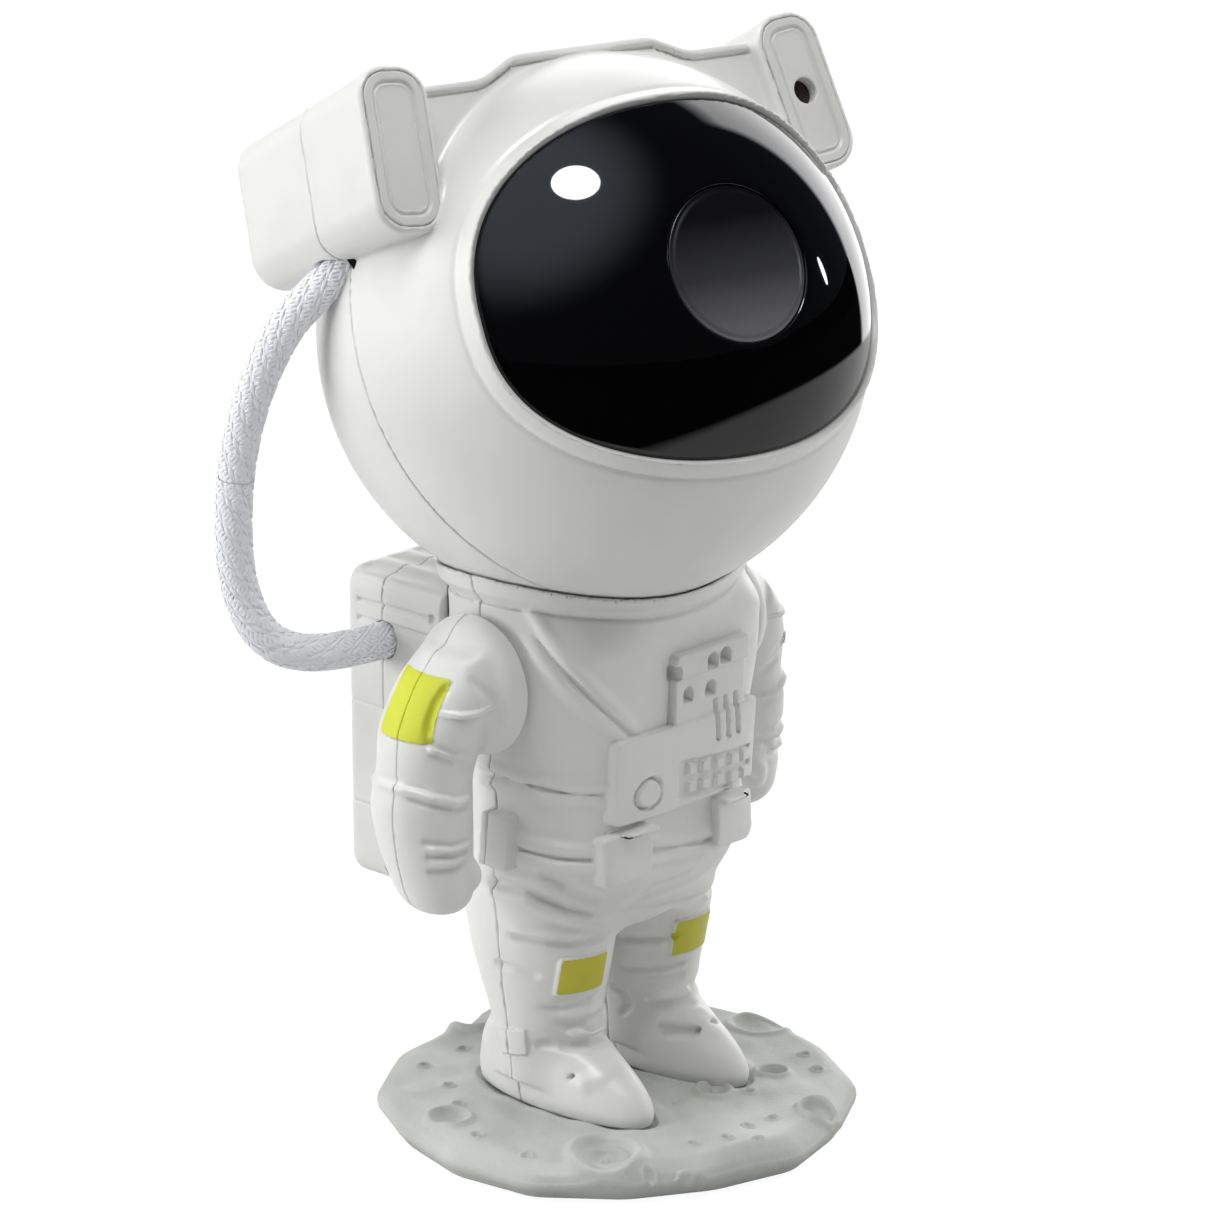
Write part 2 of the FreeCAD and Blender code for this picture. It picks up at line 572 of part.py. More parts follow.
def backpack():
    low = Vector(-s.pack_half_width, s.pack_front, s.pack_bottom)
    high = Vector(s.pack_half_width, s.pack_rear, s.pack_top)
    block = rounded_block(low, high, s.pack_corner)
    relief = Part.makeSphere(s.helmet_radius + 2 * s.seat_gap, head_center())
    legs = [leg_solid(s.torso_fit), mirrored(leg_solid(s.torso_fit))]
    block = block.cut([relief, torso_solid(s.torso_fit)] + legs)
    inset = Vector(s.pack_wall, 0, s.pack_wall)
    inner_low = low + inset
    inner_high = Vector(high.x, s.pack_rear - s.pack_wall, high.z) - inset
    inner = rounded_block(inner_low, inner_high, s.pack_corner - s.pack_wall)
    relief_wall = Part.makeSphere(s.helmet_radius + 2 * s.seat_gap + s.pack_wall, head_center())
    inner = inner.cut(relief_wall).cut(torso_solid(s.torso_fit + s.pack_wall))
    shell = block.cut(inner)

    # Corner columns for the cover screws, and seats for the screws into the torso
    for across, up in cover_screw_places():
        at = Vector(across, s.pack_front, up)
        column = rod(s.boss_radius, at, at + Y * (s.pack_rear - s.pack_front - s.pack_wall))
        shell = shell.fuse(column.common(block))
        seat = Vector(across, cover_screw_seat(), up)
        shell = shell.cut(rod(s.screw_radius + s.pilot_gap, seat - Y * (s.screw_length + s.head_gap), seat))
        shell = shell.cut(rod(s.screw_head + s.head_gap, seat, seat + Y * s.pack_rear))
    for up in pack_screw_heights():
        head = Vector(0, s.pack_floor, up)
        shell = shell.fuse(rod(s.boss_radius, head - Y * s.pack_floor, head).common(block))
        shell = shell.cut(rod(s.screw_radius + s.pilot_gap, head - Y * s.pack_floor, head))

    # Openings for the buttons, the power socket and the hose
    for up in button_heights():
        at = Vector(0, s.pack_rear - s.pack_wall - s.overrun, up)
        shell = shell.cut(rod(s.button_radius + s.button_gap, at, at + Y * 2 * s.pack_rear))
    port_low = Vector(-s.socket_width / 2 - s.socket_gap, board_rear() - s.socket_gap, s.pack_bottom - s.overrun)
    port = Part.makeBox(s.socket_width + 2 * s.socket_gap, s.socket_depth + 2 * s.socket_gap,
                        s.pack_wall + 2 * s.overrun, port_low)
    shell = shell.cut(port)
    entry = Vector(-s.pack_half_width, s.pack_seam, s.hose_height)
    hose_hole = s.hose_diameter / 2 + s.hose_hole_gap
    shell = shell.cut(rod(hose_hole, entry - X * s.overrun, entry + X * (s.pack_wall + s.overrun)))

    split = Vector(0, s.pack_seam, 0)
    front = shell.common(half_space(split, -Y, 4 * s.pack_top))
    for across, up in board_screw_places():
        start = Vector(across, s.pack_front, up)
        seat = Vector(across, board_front(), up)
        front = front.fuse(rod(s.post_radius, start, seat).cut(torso_solid(s.torso_fit)))
        front = front.cut(rod(s.small_screw_radius + s.pilot_gap, seat - Y * s.small_screw_length, seat))
    keep_shape("backpack_front", front)
    keep_shape("backpack_rear_cover", shell.common(half_space(split, Y, 4 * s.pack_top)))
    places = [(text_place((across, cover_screw_seat(), up)), "-Y") for across, up in cover_screw_places()]
    screws("backpack_cover_screws", "screw_radius", "screw_length", "screw_head", "screw_head_height", places)


def cover_screw_places():
    across = s.pack_half_width - s.pack_wall - s.boss_radius / 2
    low = s.pack_bottom + s.pack_wall + s.boss_radius / 2
    high = s.pack_top - s.pack_wall - s.boss_radius / 2
    return [(side * across, up) for side in (-1, 1) for up in (low, high)]


def cover_screw_seat():
    return s.pack_rear - s.pack_wall - s.screw_head_height


def board_rear():
    """The side of the board that carries the switches."""
    used = s.pack_wall + s.button_play + s.button_flange_thickness
    gap = s.button_travel + s.head_gap / 3
    return s.pack_rear - used - gap - s.plunger_height - s.switch_height


def board_front():
    return board_rear() - s.board_thickness


def board_middle():
    return s.button_low + s.button_pitch


def board_screw_places():
    across = s.board_half_width - s.post_radius
    up = s.board_half_height - s.post_radius
    middle = board_middle()
    return [(side * across, middle + way * up) for side in (-1, 1) for way in (-1, 1)]


def button_heights():
    return [s.button_low + i * s.button_pitch for i in range(3)]


def controls():
    """The board behind the three buttons, its switches and the power socket."""
    low = Vector(-s.board_half_width, board_front(), board_middle() - s.board_half_height)
    board = Part.makeBox(2 * s.board_half_width, s.board_thickness, 2 * s.board_half_height, low)
    for across, up in board_screw_places():
        at = Vector(across, board_front(), up)
        board = board.cut(rod(s.small_screw_radius + s.pilot_gap, at, at + Y * s.board_thickness))
    keep_shape("control_board", board)
    places = [(text_place((across, board_rear(), up)), "-Y") for across, up in board_screw_places()]
    screws("control_board_screws", "small_screw_radius", "small_screw_length", "small_screw_head",
           "small_screw_head_height", places)
    switches = []
    for up in button_heights():
        low = Vector(-s.switch_side / 2, board_rear(), up - s.switch_side / 2)
        switch = Part.makeBox(s.switch_side, s.switch_height, s.switch_side, low)
        start = Vector(0, board_rear() + s.switch_height, up)
        switches.append(switch.fuse(rod(s.plunger_radius, start, start + Y * s.plunger_height)))
    keep_shape("tact_switches", Part.makeCompound(switches))
    low = Vector(-s.socket_width / 2, board_rear(), s.pack_bottom)
    socket = Part.makeBox(s.socket_width, s.socket_depth, s.socket_length, low)
    lip = s.socket_depth / 6
    slot = Part.makeBox(s.socket_width - 2 * lip, s.socket_depth - 2 * lip, s.socket_length * 2 / 3,
                        low + Vector(lip, lip, 0))
    keep_shape("power_socket", socket.cut(slot))


def buttons():
    """Three push buttons, turned pieces held behind the cover by their flanges."""
    for node, step in (("power_button", 0), ("nebula_button", 1), ("laser_button", 2)):
        rear = "button_flange_thickness"
        front = "button_flange_thickness + button_play + pack_wall + button_proud"
        profile = [("0", "0"), ("button_radius + button_flange", "0"),
                   ("button_radius + button_flange", rear), ("button_radius", rear),
                   ("button_radius", front), ("0", front)]
        body = turned(node + "_body", profile)
        place(body, ("0", "pack_rear - pack_wall - button_play - button_flange_thickness",
                     "button_low + %d * button_pitch" % step), "+Y")
        keep(node, body)


# Neck

def neck():
    top = "head_height - helmet_radius - seat_gap - magnet_lift"
    keep("neck_magnet", cylinder("magnet", "magnet_radius", "magnet_thickness",
                                 ("0", "figure_back", top + " - magnet_thickness")))


# Helmet, modelled level about its own centre and then tilted back and turned

def head_placement():
    turn = Rotation(Z, -s.head_turn).multiply(Rotation(X, -s.head_tilt))
    return Placement(head_center(), turn)


def visor_wire(grow):
    """A rounded outline, |x/a|^n + |z/b|^n = 1 with n of 2.25, seen from the front."""
    power = 2 / 2.25
    count = 32
    points = []
    for i in range(count):
        angle = math.tau * i / count
        cosine, sine = math.cos(angle), math.sin(angle)
        across = math.copysign(abs(cosine) ** power, cosine) * (s.visor_half_width + grow)
        up = math.copysign(abs(sine) ** power, sine) * (s.visor_half_height + grow)
        points.append(Vector(across, 0, up))
    curve = Part.BSplineCurve()
    curve.interpolate(points, PeriodicFlag=True)
    return Part.Wire(curve.toShape())


def visor_prism(grow):
    wire = visor_wire(grow)
    wire.translate(Vector(0, -s.visor_back, 0))
    return Part.Face(wire).extrude(Vector(0, -2 * s.helmet_radius, 0))


def slot_wire(half_width, half_height, corner):
    """A rectangle with round corners in the XZ plane."""
    a, b, r = half_width - corner, half_height - corner, corner
    edges = []
    for i, (cx, cz) in enumerate(((a, b), (-a, b), (-a, -b), (a, -b))):
        start = math.radians(90 * i)
        turn = [start, start + math.pi / 4, start + math.pi / 2]
        arc = [Vector(cx + r * math.cos(t), 0, cz + r * math.sin(t)) for t in turn]
        edges.append(Part.Arc(*arc).toShape())
    lines = []
    for i in range(4):
        lines += [edges[i], Part.LineSegment(edges[i].Vertexes[-1].Point, edges[(i + 1) % 4].Vertexes[0].Point).toShape()]
    return Part.Wire(lines)


def ear_section(side, along, half_height, grow):
    corner = s.ear_corner + grow
    wire = slot_wire(s.ear_half_width + grow, half_height + grow, corner)
    wire.rotate(Vector(), Y, -side * s.ear_lean)
    wire.translate(Vector(side * s.ear_offset, along, s.ear_height))
    return wire


def ear_box(side, grow, front, rear):
    """Part of the long box between two planes, its height falling evenly to the rear."""
    length = s.ear_front + s.ear_rear
    drop = s.ear_half_height - s.ear_rear_half_height
    sections = []
    for along in (front, rear):
        half_height = s.ear_half_height - drop * (along + s.ear_front) / length
        sections.append(ear_section(side, along, half_height, grow))
    return Part.makeLoft(sections, True, True)


def top_bar():
    """The bar that bridges the boxes: flat in the middle, lower on both sides, with a crowned top."""
    side = s.ear_offset
    slope = (s.bar_slope_half - s.bar_flat_half) / (s.bar_high - s.bar_low)
    crest_half = s.bar_flat_half - slope * (s.bar_crest - s.bar_high)
    outline = [(-side, s.bar_base), (-side, s.bar_low), (-s.bar_slope_half, s.bar_low),
               (-crest_half, s.bar_crest), (crest_half, s.bar_crest),
               (s.bar_slope_half, s.bar_low), (side, s.bar_low), (side, s.bar_base)]
    points = [Vector(across, -s.bar_front, up) for across, up in outline]
    bar = Part.Face(Part.makePolygon(points + points[:1])).extrude(Y * (s.bar_front + s.bar_rear))
    crown = rod(s.bar_crest, -X * side, X * side)
    return bar.common(crown)


def helmet_screw_places():
    angles = [math.radians(angle) for angle in (60, 120, 225, 315)]
    return [(s.helmet_boss_ring * math.cos(a), s.helmet_boss_ring * math.sin(a)) for a in angles]


def bracket_post_places():
    return [(across * s.bracket_post_across, way * s.bracket_post_height)
            for across in (-1, 1) for way in (-1, 1)]


def head_post_places():
    across = s.head_board_half_width - s.head_post_inset
    up = s.head_board_half_height - s.head_post_inset
    return [(side * across, way * up) for side in (-1, 1) for way in (-1, 1)]


def hose_entry():
    """Where the hose enters the right box, low on its outer edge at the seam, in the head's frame."""
    local = Vector(-(s.ear_offset + s.ear_half_width / 3), s.hose_diameter / 2, s.ear_height - s.ear_half_height)
    return head_placement().multVec(local)


def helmet_shells():
    outer_sphere = Part.makeSphere(s.helmet_radius)
    inner_radius = s.helmet_radius - s.helmet_wall
    inner_sphere = Part.makeSphere(inner_radius)
    boxes = [ear_box(side, 0, -s.ear_front, s.ear_rear) for side in (-1, 1)]
    outer = outer_sphere.fuse(boxes + [top_bar()])
    lip_radius = s.helmet_radius - s.visor_thickness - s.visor_seat
    cavities = []
    for side in (-1, 1):
        shelf = -s.ear_front + s.ear_cap_thickness
        hollow = ear_box(side, -s.ear_wall, shelf - s.overrun, s.ear_rear - s.ear_wall)
        cavities.append(hollow.cut(outer_sphere))
        cavities.append(ear_box(side, -s.ear_cap_ledge, -s.ear_front - s.overrun, shelf))
    shell = outer.cut([inner_sphere] + cavities)
    for side in (-1, 1):
        start = Vector(side * (s.ear_offset - s.ear_half_width - s.helmet_wall * 2), s.tunnel_back, s.ear_height)
        shell = shell.cut(rod(s.tunnel_radius, start, start + X * side * s.ear_half_width))

    # Opening for the visor: a seat for its edge, and a lip behind it
    seat = visor_prism(s.visor_gap).cut(Part.makeSphere(lip_radius))
    shell = shell.cut(seat).cut(visor_prism(-s.visor_lip))

    # Bosses for the screws that hold the two halves, on both sides of the seam
    for across, up in helmet_screw_places():
        at = Vector(across, 0, up)
        column = rod(s.helmet_boss_radius, at - Y * s.helmet_boss_front, at + Y * s.helmet_radius)
        shell = shell.fuse(column.common(outer_sphere))
        seat_at = at + Y * s.helmet_screw_seat
        shell = shell.cut(rod(s.screw_radius + s.pilot_gap, at - Y * (s.helmet_boss_front - s.head_gap), seat_at))
        shell = shell.cut(rod(s.screw_head + s.head_gap, seat_at, seat_at + Y * s.helmet_radius))

    # Posts for the optics and for the driver board
    for across, up in bracket_post_places():
        at = Vector(across, -s.bracket_front, up)
        shell = shell.fuse(rod(s.bracket_post_radius, at, at - Y * s.bracket_post_height).common(outer_sphere))
        shell = shell.cut(rod(s.small_screw_radius + s.pilot_gap, at, at - Y * s.small_screw_length))
    shell = shell.cut(seat)
    board_back = s.head_board_back + s.board_thickness
    for across, up in head_post_places():
        at = Vector(across, board_back, up)
        shell = shell.fuse(rod(s.head_post_radius, at, at + Y * s.helmet_radius).common(Part.makeSphere(inner_radius + s.helmet_wall / 2)))
        shell = shell.cut(rod(s.small_screw_radius + s.pilot_gap, at, at + Y * s.small_screw_length))

    # Passage for the hose, along its last run, and room for the ferrule at its end
    head = head_placement()
    path = hose_points()
    inside = head.inverse().multVec(path[-1])
    outside = head.inverse().multVec(path[-2])
    shell = shell.cut(rod(s.hose_diameter / 2 + s.hose_hole_gap, outside, inside))
    way = (outside - inside).normalize()
    ferrule_radius = s.hose_diameter / 2 + s.ferrule_wall + s.hose_hole_gap
    ferrule_top = inside + way * (s.ferrule_length + s.hose_hole_gap)
    shell = shell.cut(rod(ferrule_radius, inside - way * s.overrun, ferrule_top))

    front = shell.common(half_space(Vector(), -Y, 4 * s.helmet_radius))
    rear = shell.common(half_space(Vector(), Y, 4 * s.helmet_radius))
    keep_shape("helmet_front_shell", front, head)
    keep_shape("helmet_rear_shell", rear, head)


def visor_and_window():
    head = head_placement()
    ball = Part.makeSphere(s.helmet_radius).cut(Part.makeSphere(s.helmet_radius - s.visor_thickness))
    visor = ball.common(visor_prism(0))
    hole = rod(s.window_radius + s.window_gap, Vector(), -Y * 2 * s.helmet_radius)
    keep_shape("visor", visor.cut(hole), head)
    window = cylinder("window_disc", "window_radius", "window_thickness", ("0", "0 - barrel_front", "0"), "-Y")
    keep("projection_window", compound("window", [window]), head)


def ear_caps():
    head = head_placement()
    for node, side in (("right_ear_cap", -1), ("left_ear_cap", 1)):
        rear = -s.ear_front + s.ear_cap_thickness
        cap = ear_box(side, -s.ear_cap_ledge - s.ear_cap_gap, -s.ear_front, rear)
        if side > 0:
            start = Vector(s.ear_offset, 0, s.ear_height)
            cap = cap.cut(rod(s.laser_hole, start, start - Y * 2 * s.ear_front))
        keep_shape(node, cap, head)


# Optics

def optics():
    head = head_placement()
    forward = Vector(0, -1, 0)

    # Barrel from the window to its rear flange, with four posts that stand on the bracket
    flange_front = "barrel_rear + barrel_flange_thickness"
    barrel = turned("barrel_body", [("barrel_step", "barrel_rear"), ("barrel_flange", "barrel_rear"),
                                    ("barrel_flange", flange_front), ("barrel_radius", flange_front),
                                    ("barrel_radius", "barrel_front"), ("barrel_bore", "barrel_front"),
                                    ("barrel_bore", "barrel_shoulder"), ("barrel_step", "barrel_shoulder")])
    barrel.Placement = Placement(Vector(), ALONG["-Y"])
    pieces = [barrel]
    for i, (across, up) in enumerate([(-1, -1), (-1, 1), (1, -1), (1, 1)]):
        at = ("%d * post_ring * sqrt(0.5)" % across, "0 - bracket_front", "%d * post_ring * sqrt(0.5)" % up)
        pieces.append(cylinder("barrel_post_%d" % i, "post_radius", "barrel_rear - bracket_front", at, "-Y"))
    keep("lens_barrel", fuse("barrel_with_posts", pieces), head)

    # Projection lens, curved on both sides
    lens_radius = s.barrel_bore - s.lens_gap
    sag = s.lens_curve - math.sqrt(s.lens_curve ** 2 - s.barrel_step ** 2)
    rear = s.barrel_shoulder - sag + s.lens_gap
    middle = rear + s.lens_thickness / 2
    lens = rod(lens_radius, forward * rear, forward * (rear + s.lens_thickness))
    for way in (-1, 1):
        center = forward * (middle + way * (s.lens_curve - s.lens_thickness / 2))
        lens = lens.common(Part.makeSphere(s.lens_curve, center))
    keep_shape("projection_lens", lens, head)

    # Bracket: a plate with the disc's bore in front and the lamp's hub behind
    plate_rear = s.bracket_front - s.bracket_thickness
    bracket = rod(s.bracket_radius, forward * plate_rear, forward * s.bracket_front)
    bracket = bracket.fuse(rod(s.bracket_hub_radius, forward * s.led_board_front, forward * plate_rear))
    bore_floor = s.bracket_front - s.bracket_bore_depth
    bracket = bracket.cut(rod(s.disc_boss_radius + s.disc_running_gap, forward * bore_floor,
                              forward * (s.bracket_front + s.overrun)))
    bracket = bracket.cut(rod(s.beam_radius, Vector(), forward * s.bracket_front))
    bracket = bracket.cut(rod(s.condenser_radius + s.lens_gap, Vector(), forward * plate_rear))
    for across, up in bracket_post_places():
        at = Vector(across, 0, up)
        bracket = bracket.cut(rod(s.small_screw_radius + s.pilot_gap, at, at + forward * s.bracket_front))
    motor = motor_center()
    bracket = bracket.cut(rod(s.motor_hole, motor, motor + forward * s.bracket_front))
    for side in (-1, 1):
        at = X * side * s.led_screw_ring + forward * s.led_board_front
        bracket = bracket.cut(rod(s.small_screw_radius + s.pilot_gap, at, at + forward * s.small_screw_length))
    keep_shape("optics_bracket", bracket, head)
    places = [(text_place((across, -plate_rear, up)), "-Y") for across, up in bracket_post_places()]
    screws("bracket_screws", "small_screw_radius", "small_screw_length + bracket_thickness",
           "small_screw_head", "small_screw_head_height", places, head)

    # Condenser lens, flat in front, curved towards the lamp
    condenser = rod(s.condenser_radius, forward * (plate_rear - s.condenser_thickness), forward * plate_rear)
    center = forward * (plate_rear - s.condenser_thickness + s.condenser_curve)
    keep_shape("condenser_lens", condenser.common(Part.makeSphere(s.condenser_curve, center)), head)

    # Lamp board, lamp and heat sink
    board_rear_plane = s.led_board_front - s.board_thickness
    board = rod(s.led_board_radius, forward * board_rear_plane, forward * s.led_board_front)
    keep_shape("led_board", lamp_screw_holes(board), head)
    lamp = cylinder("lamp", "led_radius", "led_height", ("0", "0 - led_board_front", "0"), "-Y")
    keep("led_emitter", compound("led", [lamp]), head)
    sink = rod(s.led_board_radius, forward * (board_rear_plane - s.sink_base), forward * board_rear_plane)
    fins = []
    half = s.led_board_radius
    count = int(half / s.fin_pitch)
    for i in range(-count, count + 1):
        middle = i * s.fin_pitch
        long = math.sqrt(max(half ** 2 - (abs(middle) + s.fin_thickness) ** 2, s.fin_pitch ** 2))
        low = Vector(middle - s.fin_thickness / 2, -board_rear_plane + s.sink_base, -long)
        fins.append(Part.makeBox(s.fin_thickness, s.sink_depth - s.sink_base, 2 * long, low))
    keep_shape("heat_sink", lamp_screw_holes(sink.fuse(fins)), head)
    seat = -board_rear_plane + s.sink_base
    places = [(text_place((side * s.led_screw_ring, seat, 0)), "-Y") for side in (-1, 1)]
    screws("lamp_screws", "small_screw_radius", "small_screw_length + sink_base", "small_screw_head",
           "small_screw_head_height", places, head)


def lamp_screw_holes(shape):
    for side in (-1, 1):
        at = X * side * s.led_screw_ring
        shape = shape.cut(rod(s.small_screw_radius + s.pilot_gap, at - Y * s.sink_depth, at + Y * s.sink_depth))
        seat = Vector(at.x, s.sink_base + s.board_thickness - s.led_board_front, 0)
        shape = shape.cut(rod(s.small_screw_head + s.head_gap, seat, seat + Y * s.sink_depth))
    return shape


def gear_face(teeth):
    """A spur gear's outline with straight flanks, thinned so that it meshes with play."""
    pitch_radius = s.tooth_size * teeth / 2
    tip, root = pitch_radius + 0.8 * s.tooth_size, pitch_radius - 1.1 * s.tooth_size
    # Half angles of a tooth at its tip, pitch circle and root, as shares of the tooth pitch
    half_shares = [(root, 0.30), (pitch_radius, 0.20), (tip, 0.09)]
    points = []
    for i in range(int(teeth)):
        middle = math.tau * i / teeth
        for radius, share in half_shares:
            points.append((radius, middle - share * math.tau / teeth))
        for radius, share in reversed(half_shares):
            points.append((radius, middle + share * math.tau / teeth))
    corners = [Vector(radius * math.cos(angle), 0, radius * math.sin(angle)) for radius, angle in points]
    return Part.Face(Part.makePolygon(corners + corners[:1]))


def motor_center():
    return Vector(0, 0, -s.tooth_size * (s.disc_teeth + s.pinion_teeth) / 2)


def disc_drive():
    head = head_placement()
    forward = Vector(0, -1, 0)
    rear = s.bracket_front + s.disc_side_gap
    disc = gear_face(s.disc_teeth)
    # A tooth of the disc points straight down at the pinion, which shows it a gap
    disc.rotate(Vector(), Y, 90)
    disc.translate(forward * rear)
    disc = disc.extrude(forward * s.disc_thickness)
    boss_rear = s.bracket_front - s.bracket_bore_depth + s.disc_side_gap
    boss = rod(s.disc_boss_radius, forward * boss_rear, forward * rear)
    boss = boss.cut(rod(s.disc_boss_bore, forward * boss_rear, forward * rear))
    keep_shape("ripple_disc", disc.fuse(boss), head)

    pinion = gear_face(s.pinion_teeth)
    half_tooth = 180 / s.pinion_teeth
    pinion.rotate(Vector(), Y, 90 + half_tooth)
    center = motor_center()
    pinion.translate(center + forward * rear)
    pinion = pinion.extrude(forward * s.disc_thickness)
    shaft = rod(s.shaft_radius, center + forward * (rear - s.shaft_reach), center + forward * rear)
    keep_shape("drive_pinion", pinion.fuse(shaft), head)

    front = s.bracket_front - s.bracket_thickness
    motor = rod(s.motor_radius, center + forward * (front - s.motor_length), center + forward * front)
    motor = motor.cut(rod(s.shaft_radius + s.shaft_gap, center + forward * (rear - s.shaft_reach - s.head_gap),
                          center + forward * front))
    keep_shape("disc_motor", motor, head)


def star_laser():
    """A small laser in the left box, with the grating that splits its beam into stars."""
    head = head_placement()
    forward = Vector(0, -1, 0)
    axis = Vector(s.ear_offset, 0, s.ear_height)
    holder = ear_box(1, -s.ear_wall - s.holder_fit, -s.holder_front, -s.holder_rear)
    band = Part.makeBox(4 * s.ear_half_width, s.holder_front, 2 * s.holder_half_height,
                        axis + Vector(-2 * s.ear_half_width, -s.holder_front, -s.holder_half_height))
    holder = holder.common(band).cut(Part.makeSphere(s.helmet_radius + s.holder_fit))
    holder = holder.cut(rod(s.laser_radius + s.laser_gap, axis, axis + forward * s.laser_front))
    holder = holder.cut(rod(s.laser_hole, axis, axis + forward * 2 * s.holder_front))
    holder = holder.cut(rod(s.grating_radius + s.laser_gap, axis + forward * (s.holder_front - s.grating_thickness),
                            axis + forward * (s.holder_front + s.overrun)))
    keep_shape("laser_holder", holder, head)
    laser = rod(s.laser_radius, axis + forward * (s.laser_front - s.laser_length), axis + forward * s.laser_front)
    keep_shape("laser_module", laser, head)
    grating = cylinder("grating", "grating_radius", "grating_thickness",
                       ("ear_offset", "grating_thickness - holder_front", "ear_height"), "-Y")
    keep("laser_grating", compound("star_grating", [grating]), head)


def head_board():
    head = head_placement()
    low = Vector(-s.head_board_half_width, s.head_board_back, -s.head_board_half_height)
    board = Part.makeBox(2 * s.head_board_half_width, s.board_thickness, 2 * s.head_board_half_height, low)
    for across, up in head_post_places():
        at = Vector(across, s.head_board_back, up)
        board = board.cut(rod(s.small_screw_radius + s.pilot_gap, at, at + Y * s.board_thickness))
    keep_shape("driver_board", board, head)
    places = [(text_place((across, s.head_board_back, up)), "+Y") for across, up in head_post_places()]
    screws("driver_board_screws", "small_screw_radius", "small_screw_length", "small_screw_head",
           "small_screw_head_height", places, head)
    places = [(text_place((across, s.helmet_screw_seat, up)), "-Y") for across, up in helmet_screw_places()]
    screws("helmet_screws", "screw_radius", "screw_length", "screw_head", "screw_head_height", places, head)


def keeper():
    """A steel dish inside the helmet's underside, which the magnet draws to the neck's seat."""
    outer = s.helmet_radius - s.helmet_wall
    dish = Part.makeSphere(outer).cut(Part.makeSphere(outer - s.keeper_thickness))
    spread = outer * math.tan(math.radians(s.keeper_angle))
    cone = Part.makeCone(0, spread, outer, Vector(), -Z)
    keep_shape("steel_keeper", dish.common(cone), head_placement())


# Hose: the points of its route, chosen by hand, from inside the backpack to inside the right box

def hose_points():
    start = Vector(-s.pack_half_width + s.hose_inside, s.pack_seam, s.hose_height)
    route = [(-43.0, 38.8, 102.7), (-54.5, 45.5, 105.5), (-58.5, 50.0, 116.5), (-60.0, 50.0, 133.0),
             (-59.5, 47.5, 151.0), (-57.5, 41.5, 167.5), (-53.5, 34.5, 180.0)]
    points = [start] + [Vector(*place) for place in route]
    entry = hose_entry()
    last = entry - points[-1]
    return points + [entry + last.normalize() * s.hose_inside]


def tube_path(points):
    """Straight runs joined by tangent arcs, each as large as its two runs allow."""
    edges = []
    begin = points[0]
    radii = []
    for before, corner, after in zip(points, points[1:], points[2:]):
        back, ahead = before - corner, after - corner
        turn = math.pi - back.getAngle(ahead)
        reach = 0.45 * min(back.Length, ahead.Length)
        radii.append(reach / math.tan(turn / 2))
        back.normalize()
        ahead.normalize()
        start, end = corner + back * reach, corner + ahead * reach
        middle_way = (back + ahead).normalize()
        middle = corner + middle_way * (radii[-1] / math.cos(turn / 2) - radii[-1])
        edges.append(Part.LineSegment(begin, start).toShape())
        edges.append(Part.Arc(start, middle, end).toShape())
        begin = end
    edges.append(Part.LineSegment(begin, points[-1]).toShape())
    return edges, radii


def tube(edges, diameter):
    start = edges[0].Vertexes[0].Point
    way = edges[0].tangentAt(edges[0].FirstParameter)
    ring = Part.Wire(Part.Circle(start, way, diameter / 2).toShape())
    path = Part.Wire(edges)
    solid = path.makePipeShell([ring], True, False)
    length = path.Length
    section = math.pi * diameter ** 2 / 4
    print("hose run %.1f mm, volume over section times length %.4f" % (length, solid.Volume / (section * length)))
    return solid


def hose():
    points = hose_points()
    edges, radii = tube_path(points)
    print("hose bend radii in mm:", " ".join("%.1f" % radius for radius in radii))
    print("hose length %.1f mm" % sum(edge.Length for edge in edges))
    # The halves meet in the middle of the straight run nearest the route's middle
    middle = 2 * (len(points) // 2)
    run = edges[middle]
    halfway = run.valueAt((run.FirstParameter + run.LastParameter) / 2)
    low_run = Part.LineSegment(run.Vertexes[0].Point, halfway).toShape()
    high_run = Part.LineSegment(halfway, run.Vertexes[-1].Point).toShape()
    keep_shape("hose_lower", tube(edges[:middle] + [low_run], s.hose_diameter))
    keep_shape("hose_upper", tube([high_run] + edges[middle + 1:], s.hose_diameter))

    # Ferrules clamped on both ends, inside the housings
    for node, end, inner in (("hose_lower_ferrule", points[0], points[1]),
                             ("hose_upper_ferrule", points[-1], points[-2])):
        way = (inner - end).normalize()
        ring = Part.makeCylinder(s.hose_diameter / 2 + s.ferrule_wall, s.ferrule_length, end, way)
        keep_shape(node, ring.cut(Part.makeCylinder(s.hose_diameter / 2, s.ferrule_length, end, way)))


base_parts()
base_screws()
figure_shells()
arms()
backpack()
controls()
buttons()
neck()
helmet_shells()
visor_and_window()
ear_caps()
optics()
disc_drive()
star_laser()
head_board()
keeper()
hose()

doc.recompute()
for obj in doc.Objects:
    if "Invalid" in obj.State or "Error" in obj.State:
        raise RuntimeError("%s did not compute: %s" % (obj.Name, obj.State))
for node, obj in sorted(parts.items()):
    if obj.Shape.isNull() or not obj.Shape.isValid():
        raise RuntimeError(node + " has no valid shape")
    if not obj.Shape.Solids:
        raise RuntimeError(node + " has no solid")
for node, obj in sorted(parts.items()):
    obj.Shape.exportStep("parts/%s.step" % node)
    print("%-24s %2d solid(s) %10.1f mm3" % (node, len(obj.Shape.Solids), obj.Shape.Volume))
print(len(parts), "nodes")
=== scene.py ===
import json
import math

import bmesh
import bpy
import numpy as np
from mathutils import Matrix, Vector


